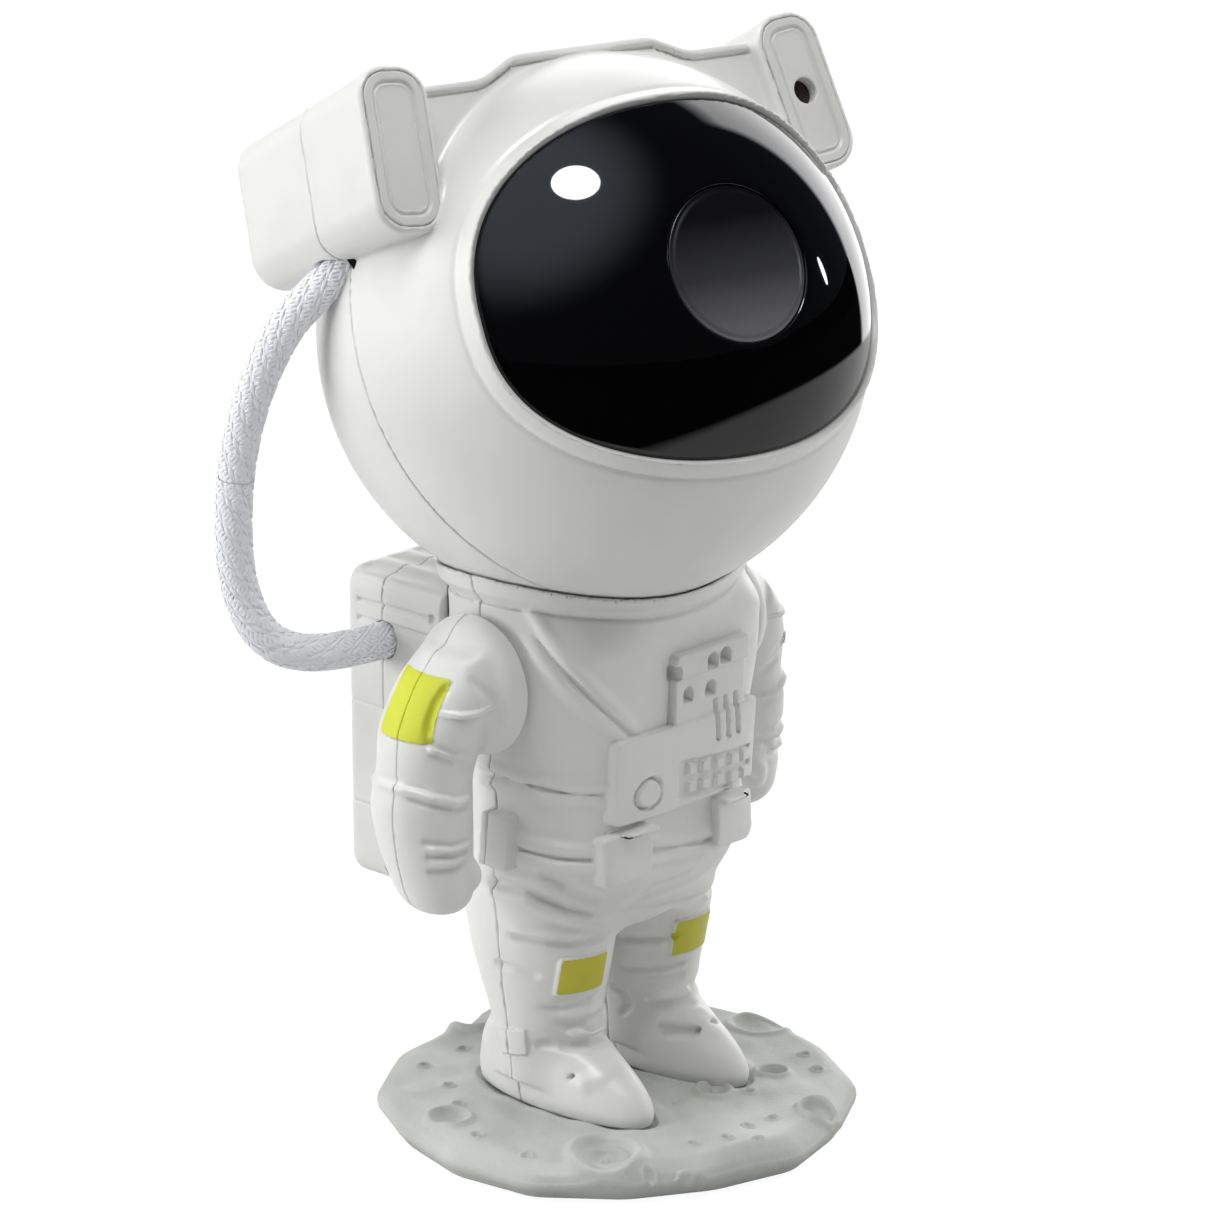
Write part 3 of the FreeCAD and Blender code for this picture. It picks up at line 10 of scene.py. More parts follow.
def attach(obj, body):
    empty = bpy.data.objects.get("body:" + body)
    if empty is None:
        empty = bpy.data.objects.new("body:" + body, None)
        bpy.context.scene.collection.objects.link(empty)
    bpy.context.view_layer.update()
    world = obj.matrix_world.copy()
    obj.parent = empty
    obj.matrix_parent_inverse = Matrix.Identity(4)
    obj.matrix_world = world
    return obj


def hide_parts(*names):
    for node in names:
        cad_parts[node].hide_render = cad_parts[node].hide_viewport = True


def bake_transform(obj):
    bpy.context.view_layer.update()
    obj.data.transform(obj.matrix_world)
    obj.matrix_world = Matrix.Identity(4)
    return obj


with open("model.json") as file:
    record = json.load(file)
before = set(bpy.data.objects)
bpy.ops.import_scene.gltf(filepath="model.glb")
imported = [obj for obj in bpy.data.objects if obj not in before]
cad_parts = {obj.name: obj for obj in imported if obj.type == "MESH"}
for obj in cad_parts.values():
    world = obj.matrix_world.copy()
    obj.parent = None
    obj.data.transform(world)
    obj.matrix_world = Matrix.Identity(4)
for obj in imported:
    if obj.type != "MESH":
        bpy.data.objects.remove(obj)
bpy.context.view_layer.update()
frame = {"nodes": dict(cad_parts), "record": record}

# Sizes are in millimetres and degrees. The head's pieces are made in the head's own frame, level and
# facing -Y about the helmet's centre, and are then tilted and turned. The rest are made in the row's frame.
head = dict(center=(0, 6.2, 168.6), turn=12.0, tilt=25.5, radius=56.0, wall=3.0, seamEdge=0.32)
visor = dict(halfWidth=46.2, halfHeight=35.8, power=2.25, thickness=1.4, gap=0.3, collarRise=1.35,
             collarWidth=4.4, seatLip=2.6)
window = dict(radius=15.6, opening=15.8, front=53.3, rear=51.5, dome=1.0)
earBox = dict(across=49.0, up=37.6, halfWidth=8.0, front=24.0, rear=28.0, halfHeight=16.8,
              rearHalfHeight=15.6, corner=6.6, lean=6.0, edge=1.3, capThickness=1.6, laserHole=2.9,
              laserHoleEnd=12.0)
topBar = dict(front=20.5, rear=18.0, low=49.8, high=53.4, crest=57.5, flatHalf=17.3, slopeHalf=25.0,
              lipHeight=1.7, lipProud=0.9)
helmetScrews = dict(ring=49.0, angles=(60, 120, 225, 315), hole=2.6, seat=6.0)
figure = dict(back=6.2, seatGap=0.35, seamEdge=0.3, crotch=46.0, height=81.0, halfWidth=34.3,
              halfDepth=24.5, legAcross=14.8, legBack=7.4, legTop=60.0, legHalfWidth=14.4,
              legHalfDepth=17.2, sole=7.4, power=3.6, bootHeight=15.6, bootHalfLength=23.5, bootHalfWidth=8.6,
              bootBack=0.7)
arm = dict(shoulder=(34.7, 6.2, 102.0), domeRadius=14.6, domeBulge=9.2, length=54.5, spread=47.6,
           halfWidth=9.4, halfDepth=10.8, back=9.5, seam=8.0, axleHole=3.66, axleHoleFrom=22.0)
pack = dict(halfWidth=29.0, low=49.5, high=117.0, front=22.0, seam=38.8, rear=49.5, corner=4.8,
            buttonHole=4.1, holeRadius=4.0, coverScrewAcross=25.3, coverScrewUps=(53.2, 113.3),
            coverScrewHole=2.35, coverSeat=45.8)
hose = dict(diameter=7.8, exit=(-29.0, 38.8, 102.7), strands=24, strandWidth=0.94, turnLength=38.0)
base = dict(radius=49.8, top=8.4, rim=5.4, low=1.0)

torsoRings = [(0.0, 0.73, 0.64), (0.10, 0.85, 0.90), (0.22, 0.87, 0.955), (0.35, 0.85, 0.95),
              (0.49, 0.90, 0.96), (0.64, 0.985, 0.98), (0.77, 1.0, 1.0), (0.87, 0.98, 1.06),
              (0.94, 1.0, 1.16), (1.0, 1.05, 1.24)]
legRings = [(0.22, 0.73, 0.64, 0.75), (0.33, 0.76, 0.62, 0.76), (0.48, 0.84, 0.71, 0.84),
            (0.63, 0.94, 0.86, 0.95), (0.80, 1.0, 1.0, 1.0), (1.0, 1.0, 1.08, 1.0)]
bootRings = [(0.0, 0.90, 0.98, 0.0), (0.20, 0.98, 1.0, 0.0), (0.45, 1.0, 0.93, 0.17),
             (0.72, 1.03, 0.77, 0.55), (1.0, 1.1, 0.54, 0.95)]
armRings = [(0.0, 0.83, 0.55, 0.72, 0.15), (0.13, 0.885, 0.92, 1.02, 0.25), (0.29, 0.95, 1.07, 1.06, 0.6),
            (0.45, 0.985, 0.98, 0.96, 0.85), (0.57, 1.0, 1.03, 1.0, 0.95), (0.70, 0.995, 1.0, 0.96, 0.85),
            (0.82, 0.985, 0.90, 0.86, 0.6), (0.93, 0.97, 0.75, 0.74, 0.3), (1.0, 0.96, 0.45, 0.46, 0.15)]


coverScrews = [(side * pack["coverScrewAcross"], up) for side in (-1, 1) for up in pack["coverScrewUps"]]
magnet = dict(pocketRadius=10.1, low=107.05)


# Forms as distance fields: negative inside a form, zero on its surface

def smoothMin(a, b, radius):
    share = np.clip(0.5 + 0.5 * (b - a) / radius, 0, 1)
    return b + (a - b) * share - radius * share * (1 - share)


def smoothMax(a, b, radius):
    return -smoothMin(-a, -b, radius)


def ramp(low, high, value):
    share = np.clip((value - low) / (high - low), 0, 1)
    return share * share * (3 - 2 * share)


def bump(value, width):
    return np.exp(-(value / width) ** 2)


def roundRect(x, z, halfX, halfZ, corner):
    dx = np.abs(x) - (halfX - corner)
    dz = np.abs(z) - (halfZ - corner)
    return np.hypot(np.maximum(dx, 0), np.maximum(dz, 0)) + np.minimum(np.maximum(dx, dz), 0) - corner


def smoothTable(rows):
    """Rows of numbers, the first of them rising, filled in by a smooth curve through them."""
    rows = np.array(rows, float)
    slopes = np.gradient(rows, axis=0)
    out = []
    for i in range(len(rows) - 1):
        for t in np.linspace(0, 1, 12, endpoint=(i == len(rows) - 2)):
            a = (2 * t ** 3 - 3 * t ** 2 + 1) * rows[i] + (t ** 3 - 2 * t ** 2 + t) * slopes[i]
            b = (-2 * t ** 3 + 3 * t ** 2) * rows[i + 1] + (t ** 3 - t ** 2) * slopes[i + 1]
            out.append(a + b)
    return np.array(out)


def ovalColumn(p, table, edge):
    """A column of level ovals: rows of height, centre x, centre y, half width, half depth."""
    x, y, z = p.T
    cx, cy, hx, hy = [np.interp(z, table[:, 0], table[:, i]) for i in (1, 2, 3, 4)]
    away = np.hypot((x - cx) / hx, (y - cy) / hy)
    side = (away - 1) * np.minimum(hx, hy)
    ends = np.maximum(table[0, 0] - z, z - table[-1, 0])
    return smoothMax(side, ends, edge)


def mirrorX(p):
    return p * np.array([-1, 1, 1])


# Head

def visorAway(p):
    """Distance along the ball from the visor's edge, positive outside: the edge is |x/a|^n + |z/b|^n = 1."""
    x, y, z = p.T
    # Clear of the axis, where no direction leads across
    x = x + 1e-6
    across = np.hypot(x, z)
    power = visor["power"] + 0.15 * z / across
    a = np.abs(x / across / visor["halfWidth"]) ** power
    b = np.abs(z / across / visor["halfHeight"]) ** power
    edge = (a + b) ** (-1 / power)
    return head["radius"] * (np.arctan2(across, -y) - np.arcsin(edge / head["radius"]))


def earLocal(p, side):
    x, y, z = p.T
    turn = math.radians(-side * earBox["lean"])
    dx, dz = x - side * earBox["across"], z - earBox["up"]
    return dx * math.cos(turn) - dz * math.sin(turn), y, dx * math.sin(turn) + dz * math.cos(turn)


def earOutline(p, side):
    x, y, z = earLocal(p, side)
    fall = (y + earBox["front"]) / (earBox["front"] + earBox["rear"])
    halfHeight = earBox["halfHeight"] - (earBox["halfHeight"] - earBox["rearHalfHeight"]) * fall
    return roundRect(x, z, earBox["halfWidth"], halfHeight, earBox["corner"])


def earBoxField(p, side):
    outline = earOutline(p, side)
    y = p[:, 1]
    box = smoothMax(smoothMax(outline, -earBox["front"] - y, 1.5), y - earBox["rear"], 2.5)
    recess = smoothMax(outline + earBox["edge"], y + earBox["front"] - earBox["capThickness"] - 0.05, 0.1)
    return smoothMax(box, -recess, 0.35)


def barField(p):
    x, y, z = p.T
    slope = (topBar["slopeHalf"] - topBar["flatHalf"]) / (topBar["high"] - topBar["low"])
    rise = (topBar["slopeHalf"] - np.abs(x)) / slope
    over = np.clip(rise, 0, topBar["crest"] - topBar["low"])
    soft = topBar["low"] + smoothMax(smoothMin(rise, over * 0 + topBar["crest"] - topBar["low"], 1.2),
                                     over * 0, 1.2)
    under = soft - z
    crown = np.hypot(y, z) - topBar["crest"]
    top = smoothMax(-under * 0.92, crown, 0.8)
    below = np.minimum(under, topBar["crest"] - np.hypot(y * 0.0 + topBar["front"], z))
    lip = below - topBar["lipHeight"]
    face = topBar["front"] - 0.3 + topBar["lipProud"] * ramp(0.2, -0.2, lip) - 0.7 * bump(lip - 0.25, 0.35)
    front = -y - face
    body = smoothMax(smoothMax(top, front, 1.0), y - topBar["rear"], 2.0)
    return np.maximum(np.maximum(body, np.abs(x) - earBox["across"]), 30 - z)


def helmetField(p):
    x, y, z = p.T
    reach = np.sqrt(x * x + y * y + z * z)
    away = visorAway(p)
    rise = visor["collarRise"] * np.clip(1 - away / visor["collarWidth"], 0, 1.3)
    rise = rise - 0.3 * bump(away - visor["collarWidth"], 0.7)
    ball = reach - head["radius"] - rise
    form = smoothMin(ball, barField(p), 1.4)
    for side in (-1, 1):
        form = smoothMin(form, earBoxField(p, side), 1.0)
    form = smoothMax(form, head["radius"] - head["wall"] - reach, 0.2)
    seatTop = head["radius"] - visor["thickness"] - 0.15 - reach
    opening = np.minimum(np.maximum(away - visor["gap"], seatTop), away + visor["seatLip"])
    form = smoothMax(form, -opening, 0.45)
    for angle in helmetScrews["angles"]:
        turn = math.radians(angle)
        cx, cz = helmetScrews["ring"] * math.cos(turn), helmetScrews["ring"] * math.sin(turn)
        hole = np.maximum(np.hypot(x - cx, z - cz) - helmetScrews["hole"], helmetScrews["seat"] - y)
        form = smoothMax(form, -hole, 0.3)
    return form


def hoseHoleField(p, radius):
    """The passage for the hose in the head's frame, along the hose's last run."""
    start, end = toHead(np.array(hosePoints[-2:]))
    way = (end - start) / np.linalg.norm(end - start)
    along = (p - start) @ way
    return np.linalg.norm(p - start - along[:, None] * way, axis=1) - radius


def frontHelmet(p):
    form = smoothMax(helmetField(p), p[:, 1] + 0.05, head["seamEdge"])
    # Laser's hole in the left ear box, outside the ball
    hole = np.hypot(p[:, 0] - earBox["across"], p[:, 2] - earBox["up"]) - earBox["laserHole"]
    ball = head["radius"] + 0.2 - np.linalg.norm(p, axis=1)
    return np.maximum(form, -np.maximum(hole, np.maximum(p[:, 1] + earBox["laserHoleEnd"], ball)))


def rearHelmet(p):
    form = smoothMax(helmetField(p), 0.05 - p[:, 1], head["seamEdge"])
    ball = head["radius"] + 0.15 - np.linalg.norm(p, axis=1)
    hole = np.maximum(np.maximum(hoseHoleField(p, pack["holeRadius"]), p[:, 2] - 30), ball)
    return smoothMax(form, -hole, 0.3)


def headTurn():
    turn, tilt = math.radians(-head["turn"]), math.radians(-head["tilt"])
    tilted = np.array([[1, 0, 0], [0, math.cos(tilt), -math.sin(tilt)], [0, math.sin(tilt), math.cos(tilt)]])
    turned = np.array([[math.cos(turn), -math.sin(turn), 0], [math.sin(turn), math.cos(turn), 0], [0, 0, 1]])
    return turned @ tilted


def fromHead(p):
    return p @ headTurn().T + np.array(head["center"])


def toHead(p):
    return (p - np.array(head["center"])) @ headTurn()


# Hose: its route in the row's frame
hosePoints = [(-24.0, 38.8, 102.7), (-43.0, 38.8, 102.7), (-54.5, 45.5, 105.5), (-58.5, 50.0, 116.5),
              (-60.0, 50.0, 133.0), (-59.5, 47.5, 151.0), (-57.5, 41.5, 167.5), (-53.5, 34.5, 180.0)]
entry = fromHead(np.array([[-(earBox["across"] + earBox["halfWidth"] / 3), hose["diameter"] / 2,
                            earBox["up"] - earBox["halfHeight"]]]))[0]
lastWay = (entry - np.array(hosePoints[-1])) / np.linalg.norm(entry - np.array(hosePoints[-1]))
hosePoints.append(tuple(entry + 5.0 * lastWay))


# Figure

def torsoTable():
    return smoothTable([(figure["crotch"] + up * figure["height"], 0, figure["back"],
                         wide * figure["halfWidth"], deep * figure["halfDepth"]) for up, wide, deep in torsoRings])


def legTable():
    return smoothTable([(up * figure["legTop"], figure["legAcross"], figure["legBack"] * back,
                         wide * figure["legHalfWidth"], deep * figure["legHalfDepth"])
                        for up, wide, deep, back in legRings])


def bootTable():
    return smoothTable([(figure["sole"] + up * figure["bootHeight"], figure["legAcross"],
                         figure["bootBack"] + back * (figure["legBack"] - figure["bootBack"]),
                         wide * figure["bootHalfWidth"], long * figure["bootHalfLength"])
                        for up, wide, long, back in bootRings])


def armTable():
    top = arm["shoulder"][2] + arm["length"] / 6
    rows = [(top - down * arm["length"], out * arm["spread"],
             arm["shoulder"][1] + back * (arm["back"] - arm["shoulder"][1]),
             wide * arm["halfWidth"], deep * arm["halfDepth"]) for down, out, wide, deep, back in armRings]
    return smoothTable(rows[::-1])


tables = dict(torso=torsoTable(), leg=legTable(), boot=bootTable(), arm=armTable())


def squared(p):
    """Points drawn in so that the torso's ovals gain full front corners: |x/a|^n + |y/b|^n = 1."""
    x, y, z = p.T
    cx, cy, hx, hy = [np.interp(z, tables["torso"][:, 0], tables["torso"][:, i]) for i in (1, 2, 3, 4)]
    across, along = np.abs(x - cx) / hx, np.abs(y - cy) / hy
    power = figure["power"]
    full = (across ** power + along ** power) ** (1 / power)
    share = 1 - (1 - full / (np.hypot(across, along) + 1e-9)) * ramp(50, 64, z) * ramp(120, 108, z) * (y < cy)
    return np.stack([cx + (x - cx) * share, cy + (y - cy) * share, z], 1)


def figureForm(p):
    """The smooth body without its folds and trim."""
    both = np.where(p[:, :1] > 0, p, mirrorX(p))
    torso = ovalColumn(p, tables["torso"], 0.3)
    leg = ovalColumn(both, tables["leg"], 1.0)
    boot = ovalColumn(both, tables["boot"], 0.8)
    low = smoothMin(leg, boot, 2.0)
    return smoothMin(torso, low, 3.0)


def armForm(p):
    x, y, z = p.T
    cx, cy, cz = arm["shoulder"]
    dome = np.sqrt(((x - cx) / arm["domeBulge"]) ** 2 + ((y - cy) / arm["domeRadius"]) ** 2
                   + ((z - cz) / arm["domeRadius"]) ** 2)
    dome = (dome - 1) * arm["domeBulge"]
    form = smoothMin(ovalColumn(p, tables["arm"], 2.0), dome, 1.6)
    return smoothMax(form, cx - x, 0.8)
def segmentAway(p, points):
    """Distance from each point to a chain of straight runs, and the share of the chain's length there."""
    points = np.array(points, float)
    runs = np.diff(points, axis=0)
    lengths = np.linalg.norm(runs, axis=1)
    before = np.concatenate([[0], np.cumsum(lengths)])
    best = np.full(len(p), 1e9)
    share = np.zeros(len(p))
    for i, run in enumerate(runs):
        t = np.clip(((p - points[i]) @ run) / lengths[i] ** 2, 0, 1)
        away = np.linalg.norm(p - points[i] - t[:, None] * run, axis=1)
        nearer = away < best
        best = np.where(nearer, away, best)
        share = np.where(nearer, (before[i] + t * lengths[i]) / before[-1], share)
    return best, share


def foldHeight(p, folds):
    """Sum of the folds: each is a chain of points, a half width and a height that fades at its ends."""
    height = np.zeros(len(p))
    for points, width, rise in folds:
        points = np.array(points, float)
        near = np.all((p > points.min(0) - 4 * width) & (p < points.max(0) + 4 * width), axis=1)
        if not near.any():
            continue
        away, share = segmentAway(p[near], points)
        fade = np.clip(6 * np.minimum(share, 1 - share) + 0.12, 0, 1)
        height[near] += rise * np.exp(-(away / width) ** 2) * fade
    return height


# Folds in the cast suit, as (points, half width, height)
legFolds = [
    ([(-30.3, 8.1, 58.0), (-28.8, -1.2, 58.1), (-23.6, -8.2, 54.7), (-18.6, -10.8, 52.3)], 1.2, -1.0),
    ([(-30.1, 9.2, 56.6), (-28.5, -1.8, 56.1), (-23.4, -7.9, 52.6), (-14.1, -11.2, 49.8)], 1.3, 0.75),
    ([(-28.8, 3.2, 47.1), (-25.7, -3.6, 46.6), (-20.5, -8.0, 45.9), (-13.0, -10.0, 46.2)], 0.8, -0.9),
    ([(-28.6, 3.2, 48.9), (-25.7, -4.6, 48.4), (-20.5, -9.0, 47.6)], 1.2, 0.45),
    ([(-26.5, -4.6, 63.1), (-23.5, -9.0, 60.2), (-17.9, -12.1, 55.5)], 1.6, -0.55),
    ([(-12.5, -13.4, 53.4), (-6.1, -15.8, 55.3), (6.7, -15.3, 55.2), (17.0, -12.0, 57.5),
      (25.0, -4.0, 60.0)], 1.6, -0.8),
    ([(-11.9, -12.9, 51.6), (0.6, -11.6, 48.4), (13.5, -9.3, 45.6), (23.0, -6.0, 46.0)], 1.1, -0.7),
    ([(2.5, 1.0, 39.0), (4.1, -2.0, 38.7), (8.4, -6.2, 38.7), (11.0, -7.6, 39.0)], 0.7, -0.55),
    ([(2.5, 1.0, 37.2), (4.1, -2.0, 36.9), (8.4, -6.2, 37.0)], 0.8, 0.35),
    ([(2.8, 2.0, 31.8), (4.5, -0.6, 31.5), (9.0, -4.6, 31.3), (15.0, -6.0, 31.5)], 0.7, -0.55),
    ([(-28.4, 8.3, 40.0), (-27.8, 2.8, 39.7), (-25.2, -2.2, 38.5)], 0.8, -0.4),
    ([(-24.4, -1.6, 31.2), (-21.0, -4.8, 31.0), (-14.0, -6.6, 31.3), (-7.0, -4.0, 31.6)], 0.75, -0.7),
    ([(-22.0, -4.0, 29.4), (-19.5, -5.3, 29.2), (-15.5, -6.4, 28.7), (-9.4, -5.4, 28.6)], 0.8, 0.5),
    ([(-22.5, -3.6, 27.6), (-19.2, -5.2, 26.9), (-15.1, -6.4, 26.4), (-8.0, -4.6, 26.4)], 0.8, -0.8),
    ([(-20.5, -4.8, 25.2), (-15.1, -7.4, 24.4), (-9.0, -6.4, 24.4)], 0.9, 0.6),
    ([(-24.4, 0.6, 22.6), (-21.7, -3.6, 22.9), (-15.7, -7.0, 21.6), (-9.0, -7.4, 21.8)], 1.0, -0.75),
    ([(-21.8, -6.3, 16.2), (-18.4, -9.6, 17.7), (-13.0, -11.2, 18.4)], 0.9, -0.7),
    ([(-22.4, -9.3, 15.2), (-18.4, -12.4, 16.7), (-12.0, -13.6, 17.6)], 1.5, 0.4),
    ([(-25.9, 7.2, 18.6), (-25.4, 7.4, 14.4), (-23.6, 9.4, 9.5)], 0.35, -0.35),
    ([(5.2, -2.6, 24.6), (8.5, -4.6, 24.9), (12.0, -6.1, 24.4), (17.0, -6.4, 24.6)], 1.0, 0.7),
    ([(6.5, -4.0, 22.6), (11.0, -6.6, 22.4), (17.0, -7.2, 22.6)], 0.9, -0.8),
    ([(6.5, -5.2, 20.2), (11.3, -8.7, 20.2), (17.7, -8.9, 20.6)], 1.0, 0.6),
    ([(6.8, -7.0, 18.0), (11.8, -11.4, 17.6), (18.7, -11.4, 18.0)], 1.1, -0.75),
    ([(5.4, -1.6, 28.4), (9.0, -4.6, 28.0), (15.0, -6.2, 28.3)], 0.9, -0.55),
    ([(3.6, 5.0, 26.6), (4.6, 1.9, 25.6), (5.0, 0.9, 22.8), (4.6, 2.9, 20.0)], 0.7, -0.45),
    ([(30.1, 9.0, 57.5), (28.6, -1.6, 57.5), (24.0, -8.0, 54.5)], 1.2, -0.8),
    ([(28.8, 3.2, 47.4), (25.7, -3.6, 46.6), (20.5, -8.0, 45.9)], 0.9, -0.8),
    ([(-24.0, 19.5, 44.0), (-15.0, 22.5, 43.0), (-6.0, 19.5, 44.0)], 1.2, -0.8),
    ([(24.0, 19.5, 44.0), (15.0, 22.5, 43.0), (6.0, 19.5, 44.0)], 1.2, -0.8),
    ([(-23.0, 18.0, 38.0), (-15.0, 20.6, 37.4), (-7.0, 18.0, 38.0)], 1.2, -0.6),
    ([(23.0, 18.0, 38.0), (15.0, 20.6, 37.4), (7.0, 18.0, 38.0)], 1.2, -0.6),
    ([(-23.0, 17.0, 28.0), (-15.0, 20.0, 27.4), (-8.0, 17.0, 28.0)], 1.0, -0.6),
    ([(23.0, 17.0, 28.0), (15.0, 20.0, 27.4), (8.0, 17.0, 28.0)], 1.0, -0.6),
    ([(25.0, 8.0, 24.0), (24.5, 0.0, 24.4), (20.0, -5.6, 24.6)], 1.0, -0.6),
    ([(25.5, 3.0, 40.0), (24.0, -3.4, 39.4)], 0.8, -0.4),
]
trim = [
    ([(-31.2, -4.0, 119.5), (-29.6, -6.1, 116.9), (-25.2, -10.5, 109.7), (-19.7, -13.5, 101.4),
      (-11.7, -15.9, 91.1)], 1.15, 0.95),
    ([(-31.2, -3.6, 113.6), (-30.0, -5.6, 112.0), (-26.7, -9.1, 106.6), (-21.5, -12.4, 98.6),
      (-13.9, -15.2, 89.4)], 1.15, 0.85),
    ([(-29.8, -5.4, 114.5), (-26.0, -9.8, 108.2), (-20.6, -13.0, 100.1), (-12.8, -15.6, 90.3)], 0.6, -0.55),
    ([(-30.6, 12.0, 83.1), (-30.3, 5.2, 83.4), (-26.2, -5.7, 83.1), (-15.7, -13.7, 81.2),
      (-12.0, -15.2, 80.9)], 1.15, 0.9),
    ([(-30.2, 12.0, 79.4), (-29.8, 5.8, 79.7), (-25.9, -5.4, 79.5), (-15.9, -13.5, 77.7),
      (-12.0, -15.0, 77.4)], 1.15, 0.85),
    ([(-30.4, 12.0, 81.2), (-30.0, 5.5, 81.5), (-26.0, -5.6, 81.3), (-15.8, -13.6, 79.5)], 0.6, -0.5),
    ([(30.6, 12.0, 83.1), (30.3, 5.2, 83.4), (26.2, -5.7, 83.1), (15.7, -13.7, 81.2)], 1.15, 0.9),
    ([(30.2, 12.0, 79.4), (29.8, 5.8, 79.7), (25.9, -5.4, 79.5), (15.9, -13.5, 77.7)], 1.15, 0.85),
    ([(-29.2, 12.0, 68.7), (-28.9, 1.5, 68.8), (-24.6, -6.8, 68.6), (-18.1, -12.4, 67.9), (-6.8, -16.6, 66.6),
      (7.1, -16.5, 64.6), (18.0, -12.4, 65.7), (24.6, -6.8, 67.2), (29.0, 1.5, 68.3),
      (29.4, 12.0, 68.7)], 1.15, 0.95),
    ([(-29.4, 12.0, 64.9), (-29.1, 1.4, 64.9), (-24.7, -6.9, 64.7), (-18.1, -12.4, 64.0), (-6.8, -16.6, 62.7),
      (7.2, -16.4, 60.7), (18.0, -12.4, 61.8), (24.6, -6.8, 63.5), (29.2, 1.5, 64.5),
      (29.6, 12.0, 64.9)], 1.15, 0.95),
    ([(-29.3, 12.0, 66.8), (-29.0, 1.5, 66.9), (-24.6, -6.8, 66.7), (-18.1, -12.4, 66.0), (-6.8, -16.6, 64.7),
      (7.1, -16.4, 62.7), (18.0, -12.4, 63.8)], 0.6, -0.5),
]


def plate(form, outline, proud, edge):
    """A pad that stands proud of a form inside an outline."""
    return smoothMin(form, smoothMax(form - proud, outline, edge), 0.25)


def chestUnit(p, form):
    """The control unit on the chest: a low wide part and a high one, with arches, slots, keys and a knob."""
    x, y, z = p.T
    low = roundRect(x - 1.45, z - 82.0, 19.15, 9.0, 1.4)
    high = roundRect(x - 6.8, z - 97.0, 10.6, 8.8, 1.0)
    outline = np.maximum(np.minimum(low, high), y + 2)
    form = plate(form, outline, 2.1, 0.5)
    carve = np.zeros(len(p))
    for at in (9.0, 11.9, 14.6):
        line = np.maximum(np.abs(x - at + (z - 89.2) * 0.107) - 0.42, np.abs(z - 89.2) - 4.6)
        carve = np.maximum(carve, ramp(0.2, -0.2, line) * 1.3)
    for cx, cz in ((-3.6, 102.4), (0.4, 97.0), (7.1, 96.9), (7.1, 103.0), (10.6, 103.2)):
        arch = np.maximum(np.hypot(x - cx, np.maximum(z - cz, 0)) - 1.3, cz - 1.7 - z)
        carve = np.maximum(carve, ramp(0.25, -0.25, arch) * 2.2)
    carve = carve + 0.5 * ramp(100.9, 100.5, z) * ramp(90.5, 91.3, z) * ramp(0.2, -0.5, high)
    drop = 0.1 * (x + 2.3)
    panel = roundRect(x - 8.4, z - 78.9 + drop, 10.5, 4.0, 0.5)
    carve = carve + ramp(0.25, -0.25, panel) * 0.75
    for column in (1.9, 5.9, 10.1, 14.1, 17.6):
        for up in (80.9, 77.1):
            key = roundRect(x - column, z - up + drop, 1.2, 1.25, 0.35)
            carve = carve - ramp(0.25, -0.25, key) * 1.0
    knob = np.hypot(x + 10.3, z - 78.3)
    carve = carve + ramp(3.7, 3.3, knob) * 1.1 - ramp(3.1, 2.6, knob) * 1.35
    return form + np.where((y < 0) & (outline < 0.6), carve, 0)


def figureField(p):
    x, y, z = p.T
    # Reliefs lie on the squared torso, so they are drawn in with it
    q = squared(p)
    form = figureForm(q) - 2.4 * foldHeight(q, legFolds) - 1.5 * foldHeight(q, trim)
    form = chestUnit(q, form)
    front = roundRect(np.abs(q[:, 0]) - 14.6, z - 66.0 + 0.14 * (np.abs(q[:, 0]) - 14.6), 5.0, 5.4, 0.9)
    form = plate(form, np.maximum(front, y + 2), 2.2, 0.5)
    hip = roundRect(y - 4.2, z - 68.2, 4.1, 5.6, 0.9)
    form = plate(form, np.maximum(hip, 20 - np.abs(x)), 2.3, 0.5)
    knees = np.minimum(roundRect(x + 17.9, z - 38.4, 5.6, 4.3, 0.6),
                       roundRect(x - 15.0, z - 38.2, 5.6, 4.3, 0.6))
    form = plate(form, np.maximum(knees, y), 0.55, 0.25)
    tab = roundRect(y - 5.4, z - 22.4 + (y - 5.4) * 0.18, 3.8, 2.9, 0.4)
    form = plate(form, np.maximum(tab, 18 - np.abs(x)), 0.6, 0.2)
    # Round rim under the head
    reach = np.sqrt(x * x + (y - head["center"][1]) ** 2 + (z - head["center"][2]) ** 2) - head["radius"]
    rim = ramp(3.5, 2.8, reach) * 1.0 - bump(reach - 3.7, 0.45) * 0.6
    form = form - np.where(z > 100, rim, 0)
    form = smoothMax(form, figure["seatGap"] - reach, 0.9)
    return smoothMax(form, figure["sole"] + 0.05 - z, 0.3)


def bodyHalf(sign):
    def field(p):
        x, y, z = p.T
        solid = figureField(p)
        cup = np.maximum(np.hypot(x, y - figure["back"]) - magnet["pocketRadius"], magnet["low"] - z)
        solid = smoothMax(solid, -cup, 0.2)
        for side in (-1, 1):
            axle = np.hypot(y - arm["shoulder"][1], z - arm["shoulder"][2]) - arm["axleHole"]
            solid = np.maximum(solid, -np.maximum(axle, arm["axleHoleFrom"] - side * x))
        return smoothMax(solid, sign * (y - figure["back"]) + 0.03, figure["seamEdge"])
    return field


